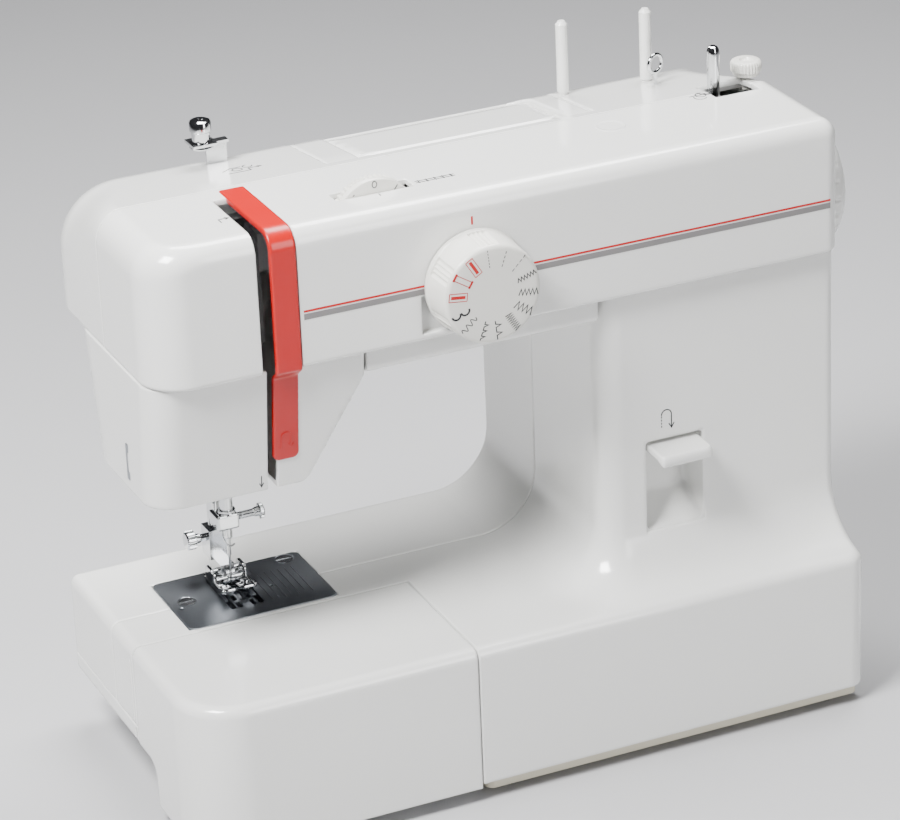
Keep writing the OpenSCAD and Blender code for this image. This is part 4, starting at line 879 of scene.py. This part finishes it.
def recess_and_lever():
    (x0, y0, z0), (x1, y1, z1) = mm_box("lever_pocket")

    def pocket(x, y, z):
        d = rect2(x, z, x0, x1, z0, z1, (2, 2, 2, 2))
        d = meet(d, np.maximum(y0 - y, y - y1), 0.3)
        hollow = rect2(x, z, x0 + 1.6, x1 - 1.6, z0 + 1.6, z1 - 1.6, (3, 3, 2, 2))
        floor = (z0 + 13 - z) * 0.8 + (y - y0 - 18) * 0.6
        hollow = meet(hollow, y - y1 + 1.8, 2.5)
        return cut(d, meet(hollow, floor, 1.5), 0.5)

    ob = surface("reverse_recess_moulding", pocket,
                 lines(x0 - 1, x1 + 1, 1.6, (x0 + 1, 2.5, 0.5), (x1 - 1, 2.5, 0.5)),
                 lines(y0 - 1, y1 + 1, 1.2, (y0, 1, 0.5)),
                 lines(z0 - 1, z1 + 1, 1.6, (z0 + 2, 3, 0.6), (z1 - 1, 2.5, 0.5)))
    dress(ob, WHITE, "machine", ("lever_pocket",))
    (a0, b0, c0), (a1, b1, c1) = mm_box("reverse_lever")

    def lever(x, y, z):
        top = z - c1 + 2.2 + (b0 + 30 - y) * 0.035
        plate = meet(rect2(x, y, a0 + 2.8, a1 - 2.8, b0, b1 - 3, (3.5, 3.5, 1, 1)), np.abs(top) - 2.0, 1.2)
        across = np.abs(x - (a0 + a1) / 2)
        nose = meet(rect2(y, z, b0, b0 + 5, c0 + 0.2, c1 - 2.2, (1.5, 2, 1, 1.5)), across - 13, 1.2)
        rib = meet(rect2(y, z, b0 + 3, b1 - 8, c0 + 0.6, c1 - 2, (1, 1, 1, 1)), np.abs(across - 9) - 0.9, 0.3)
        axle = np.maximum(np.hypot(y - (CY + 13), z - (c0 + 3.6)) - 2, across - (a1 - a0) / 2)
        return np.minimum(join(join(plate, nose, 1.2), rib, 0.6), axle)

    ob = surface("reverse_lever_key", lever, lines(a0 - 1, a1 + 1, 1.2, (a0 + 4, 3, 0.5), (a1 - 4, 3, 0.5)),
                 lines(b0 - 1, b1 + 1, 1.0, (b0 + 2, 3, 0.45)), lines(c0 - 1, c1 + 1, 0.5))
    dress(ob, WHITE, "reverse", ("reverse_lever",))


def stitching_area():
    """Needle plate with its slots, and the snap-on zigzag foot."""
    zt, zb = PLATE_TOP, PLATE_TOP - 2.7

    def plate(x, y, z):
        u, v = x - NX, y - NY
        d = meet(rect2(x, y, PX0, PX1, PY0, PY1, (3.5, 3.5, 3.5, 3.5)), np.abs(z - (zt + zb) / 2) - 1.35, 0.45)
        slots = np.minimum(rect2(np.abs(u), v, 5.7, 8.3, -21, 12.4, (0.5,) * 4),
                           rect2(u, v, -3.2, 3.2, -1.4, 1.4, (1.3,) * 4))
        for a0, a1 in ((-14, -4), (3.4, 12.6)):
            slots = np.minimum(slots, rect2(u, v, -1.4, 1.4, a0, a1, (0.5,) * 4))
        for a0, a1 in ((-21, -15.4), (-13.6, -8)):
            slots = np.minimum(slots, rect2(np.abs(u), v, 2.4, 4.6, a0, a1, (0.5,) * 4))
        for hx, hy in ((-29, -9.5), (17.5, -7.5)):
            slots = np.minimum(slots, np.hypot(u - hx, v - hy) - 0.9)
        d = cut(d, slots, 0.2)
        for (hx, hy) in screws:
            d = cut(d, np.maximum(np.hypot(x - hx, y - hy) - 4.45, zt - 1.6 - z), 0.3)
            d = cut(d, np.hypot(x - hx, y - hy) - 2.1)
        return d

    verts = NODES["plate_screws"].data.vertices
    xs = [v.co.x / MM for v in verts]
    mid = (min(xs) + max(xs)) / 2
    screws = []
    for side in (lambda a: a < mid, lambda a: a >= mid):
        pts = [v.co / MM for v in verts if side(v.co.x / MM)]
        screws.append(((min(p.x for p in pts) + max(p.x for p in pts)) / 2,
                       (min(p.y for p in pts) + max(p.y for p in pts)) / 2))
    near = [(PX0 + 1, 2, 0.7), (PX1 - 1, 2, 0.7)] + [(NX + a, 1.8, 0.5) for a in (-7, -3, 0, 3, 7)]
    near += [(p[0], 5, 0.8) for p in screws] + [(NX - 29, 1.2, 0.5), (NX + 17.5, 1.2, 0.5)]
    ob = surface("needle_plate_pressing", plate, lines(PX0 - 1, PX1 + 1, 2.5, *near),
                 lines(PY0 - 1, PY1 + 1, 2.5, (PY0 + 1, 2, 0.7), (PY1 - 1, 2, 0.7), (NY - 4, 18, 0.8),
                       (NY - 4, 1, 0.5),
                       *[(p[1], 5, 0.8) for p in screws]),
                 lines(zb - 1, zt + 1, 0.45))
    dress(ob, STEEL, "machine", ("needle_plate",))
    places = [NX + 12.5 + 3.4 * i for i in range(7)]
    rules = [([(px, NY - 22 + (i % 2) * 3), (px, NY + 7)], 0.3) for i, px in enumerate(places)]
    ribbons("plate_guide_lines", rules, (0, 0, zt), (1, 0, 0), (0, 1, 0), CHROME, thick=0.03)
    sole = mm_box("presser_foot")[0][2]

    def foot(x, y, z):
        u, v = x - NX, y - NY
        h = z - sole - 0.03 * np.maximum(-3 - v, 0) ** 2
        d = meet(rect2(u, v, -8.9, 8.9, -12.5, 14.5, (2.5, 2.5, 1.5, 1.5)), np.abs(h - 0.95) - 0.9, 0.35)
        d = cut(d, rect2(u, v, -2.1, 1.3, -20, 0, (0, 0, 1, 1)), 0.3)
        d = cut(d, rect2(u, v, -4.2, 4.2, -2.2, 2.2, (1.5,) * 4), 0.3)
        k = z - sole
        ears = meet(rect2(v, k, 1.0, 12, 0.4, 8.3, (0.5, 0.5, 3, 3)), np.abs(np.abs(u) - 7.9) - 0.8, 0.3)
        toes = meet(rect2(v, k - 0.03 * np.maximum(-3 - v, 0) ** 2, -11, 2, 0.5, 3.0, (0.4, 0.4, 1, 1)),
                    np.abs(np.abs(u) - 8.1) - 0.6, 0.3)
        bars = np.maximum(np.minimum(np.hypot(v - 7, k - 6.2) - 1.0, np.hypot(v - 2.6, k - 3.4) - 0.9),
                          np.abs(u) - 8.4)
        bridge = meet(rect2(v, k, 10, 14, 0.5, 3.2, (0.4, 0.4, 1, 1)), np.abs(u) - 8, 0.3)
        return join(join(np.minimum(d, bars), np.minimum(ears, toes), 0.4), bridge, 0.4)

    ob = surface("zigzag_foot", foot, lines(NX - 10, NX + 10, 0.5), lines(NY - 14, NY + 16, 0.5),
                 lines(sole - 1, sole + 10, 0.4))
    dress(ob, CHROME, "foot", ("presser_foot",))
    clamp = mm_box("needle_clamp")
    low, high = mm_box("clamp_screw")
    sz = (low[2] + high[2]) / 2

    def block(x, y, z):
        u, v, w = x - NX, y - NY, z - sz
        d = meet(rect2(u, w, -6.2, 4.6, -4.0, 3.6, (1.2,) * 4), np.abs(v) - 4.6, 0.7)
        d = join(d, meet(np.hypot(u, v) - 4.3, np.abs(w - 3.5) - 1.6, 0.3), 0.5)
        d = join(d, meet(np.hypot(u, v) - 2.1, np.maximum(clamp[0][2] - z, w), 0.4), 0.6)
        d = join(d, meet(rect2(u, v, -6.5, -4.2, -4.2, 6.6, (0.6,) * 4), np.abs(w) - 3.2, 0.5), 0.6)
        d = cut(d, np.hypot(u, v) - 1.02)
        return cut(d, np.maximum(np.hypot(v, w) - 2.2, 1.2 - u), 0.2)

    ob = surface("needle_clamp_block", block, lines(NX - 8, NX + 7, 0.45), lines(NY - 6, NY + 8, 0.45),
                 lines(clamp[0][2] - 1, clamp[1][2] + 1, 0.45))
    dress(ob, CHROME, "needle_unit", ("needle_clamp",))
    foot_z = clamp[0][2]
    wire = [(NX - 3.4, NY - 3.6, foot_z + 6), (NX - 4.6, NY - 5.4, foot_z + 3),
            (NX - 3.6, NY - 6.0, foot_z - 1), (NX - 0.5, NY - 5.6, foot_z - 2.4), (NX + 1.4, NY - 4.4, foot_z - 1.8)]
    curve_piece("needle_thread_guide", wire, 0.45, CHROME, "needle_unit")


def curve_piece(name, pts, radius, mat, body):
    """Bent wire through the given points."""
    cu = bpy.data.curves.new(name, "CURVE")
    cu.dimensions = "3D"
    cu.bevel_depth = radius * MM
    cu.bevel_resolution = 4
    cu.use_fill_caps = True
    sp = cu.splines.new("NURBS")
    sp.points.add(len(pts) - 1)
    for p, q in zip(sp.points, pts):
        p.co = (*[c * MM for c in q], 1)
    sp.use_endpoint_u = True
    sp.order_u = 4
    sp.resolution_u = 8
    tmp = bpy.data.objects.new(name + "_path", cu)
    bpy.context.scene.collection.objects.link(tmp)
    mesh = bpy.data.meshes.new_from_object(tmp.evaluated_get(bpy.context.evaluated_depsgraph_get()))
    bpy.data.objects.remove(tmp)
    mesh.name = name
    for poly in mesh.polygons:
        poly.use_smooth = True
    ob = bpy.data.objects.new(name, mesh)
    bpy.context.scene.collection.objects.link(ob)
    return dress(ob, mat, body)


def front_details():
    (x0, y0, z0), (x1, y1, z1) = mm_box("plug_cap")
    r, h = (x1 - x0) / 2, z1 - z0
    profile = [(0, 0), (r - 0.1, 0), (r - 0.1, h - 0.35), (r - 0.45, h - 0.02), (r - 1.6, h),
               (r - 2.2, h - 0.25), (0, h - 0.3)]
    cap = lathe("oiling_plug", ((x0 + x1) / 2, (y0 + y1) / 2, z0), "z", profile, 96)
    dress(cap, WHITE, "machine", ("plug_cap",))


pattern_dial()
stitching_area()
front_details()
front_prints()
top_prints()
tension_dial()
wheels()
knurled("needle_clamp_screw", "clamp_screw", "x", 1, "needle_screw", 3.9, 1.9, 2.2)
knurled("foot_thumb_screw", "thumb_screw", "x", -1, "foot_screw", 4.6, 2.0)
top_fittings()
recess_and_lever()


# ---------------------------------------------------------------- CAD nodes that stay in view
FINISH = {
    STEEL: "needle_plate presser_foot feed_dog race_ring hook_driver thread_cutter",
    CHROME: "needle_bar needle_clamp clamp_screw needle presser_bar foot_holder thumb_screw take_up_lever "
            "plate_screws wire_loop pretension_knob pretension_bracket winder_spindle tension_unit bobbin_case "
            "shuttle_hook",
    TURNED: "main_shaft lower_shaft needle_crank motor motor_pulley",
    BEIGE: "base_plate",
    RED: "red_strip",
    CAST: "frame",
    RUBBER: "feet winder_tyre drive_belt timing_belt",
    BLACK: "presser_lever power_inlet lever_pocket",
    LAMP: "lamp",
    OFFWHITE: "pattern_dial winder_stopper handwheel clutch_knob tension_wheel plug_cap winder_arm "
              "reverse_lever bobbin pattern_cams",
}


def cad_finish():
    """Every carried-over CAD node gets its finish and rounded edges; what isn't listed is white plastic."""
    finish = {node: mat for mat, nodes in FINISH.items() for node in nodes.split()}
    for name, ob in NODES.items():
        mat = finish.get(name, WHITE)
        ob.data.materials.clear()
        ob.data.materials.append(mat)
        for p in ob.data.polygons:
            p.use_smooth = True
        sharpen(ob.data, 32)
        lo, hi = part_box(name)
        small = min(b - a for a, b in zip(lo, hi)) / MM
        soften(ob, 0.12 if small < 4 else 0.35)


cad_finish()


# ---------------------------------------------------------------- studio
def studio():
    scene = bpy.context.scene
    bpy.ops.mesh.primitive_plane_add(size=30, location=(0, 0, 0))
    floor = bpy.context.object
    floor.name = "floor"
    paper = material("paper", (0.50, 0.50, 0.51), 0.6, bump=0.02, tint=0.004)
    floor.data.materials.append(paper)
    world = bpy.data.worlds.new("soft_room")
    scene.world = world
    world.use_nodes = True
    nt = world.node_tree
    bg = nt.nodes["Background"]
    bg.inputs["Strength"].default_value = 0.42
    grad = nt.nodes.new("ShaderNodeTexGradient")
    coord = nt.nodes.new("ShaderNodeTexCoord")
    turn = nt.nodes.new("ShaderNodeMapping")
    turn.inputs["Rotation"].default_value = (0, math.radians(-90), 0)
    ramp = nt.nodes.new("ShaderNodeValToRGB")
    ramp.color_ramp.elements[0].color = (0.10, 0.10, 0.11, 1)
    ramp.color_ramp.elements[1].color = (1, 1, 1, 1)
    nt.links.new(coord.outputs["Generated"], turn.inputs["Vector"])
    nt.links.new(turn.outputs["Vector"], grad.inputs["Vector"])
    nt.links.new(grad.outputs["Fac"], ramp.inputs["Fac"])
    nt.links.new(ramp.outputs["Color"], bg.inputs["Color"])

    def area(name, place, aim, size, power):
        light = bpy.data.lights.new(name, "AREA")
        light.shape = "RECTANGLE"
        light.size, light.size_y = size
        light.energy = power
        ob = bpy.data.objects.new(name, light)
        ob.location = place
        ob.rotation_euler = (Vector(aim) - Vector(place)).to_track_quat("-Z", "Y").to_euler()
        scene.collection.objects.link(ob)

    area("key", (-0.75, -0.35, 1.25), (0, 0, 0.15), (0.45, 0.45), 52)
    area("top", (0.25, 0.35, 1.3), (0, 0, 0.2), (0.8, 0.4), 26)
    area("front", (0.5, -1.5, 0.7), (0, 0, 0.15), (0.4, 0.9), 9)


def camera():
    """The camera stands where the object was looked at from."""
    az, el, roll = math.radians(23.52), math.radians(24.59), math.radians(-2.45)
    f = Vector((math.sin(az) * math.cos(el), math.cos(az) * math.cos(el), -math.sin(el)))
    r = Vector((math.cos(az), -math.sin(az), 0))
    u = r.cross(f)
    r2 = math.cos(roll) * r + math.sin(roll) * u
    u2 = -math.sin(roll) * r + math.cos(roll) * u
    cam = bpy.data.cameras.new("camera")
    cam.sensor_width, cam.sensor_fit, cam.lens = 36, "HORIZONTAL", 157.2
    cam.clip_end = 30
    ob = bpy.data.objects.new("camera", cam)
    m = Matrix((r2, u2, -f)).transposed().to_4x4()
    m.translation = Vector((-0.68875, -1.54045, 0.9306))
    ob.matrix_world = m
    bpy.context.scene.collection.objects.link(ob)
    bpy.context.scene.camera = ob


studio()
camera()
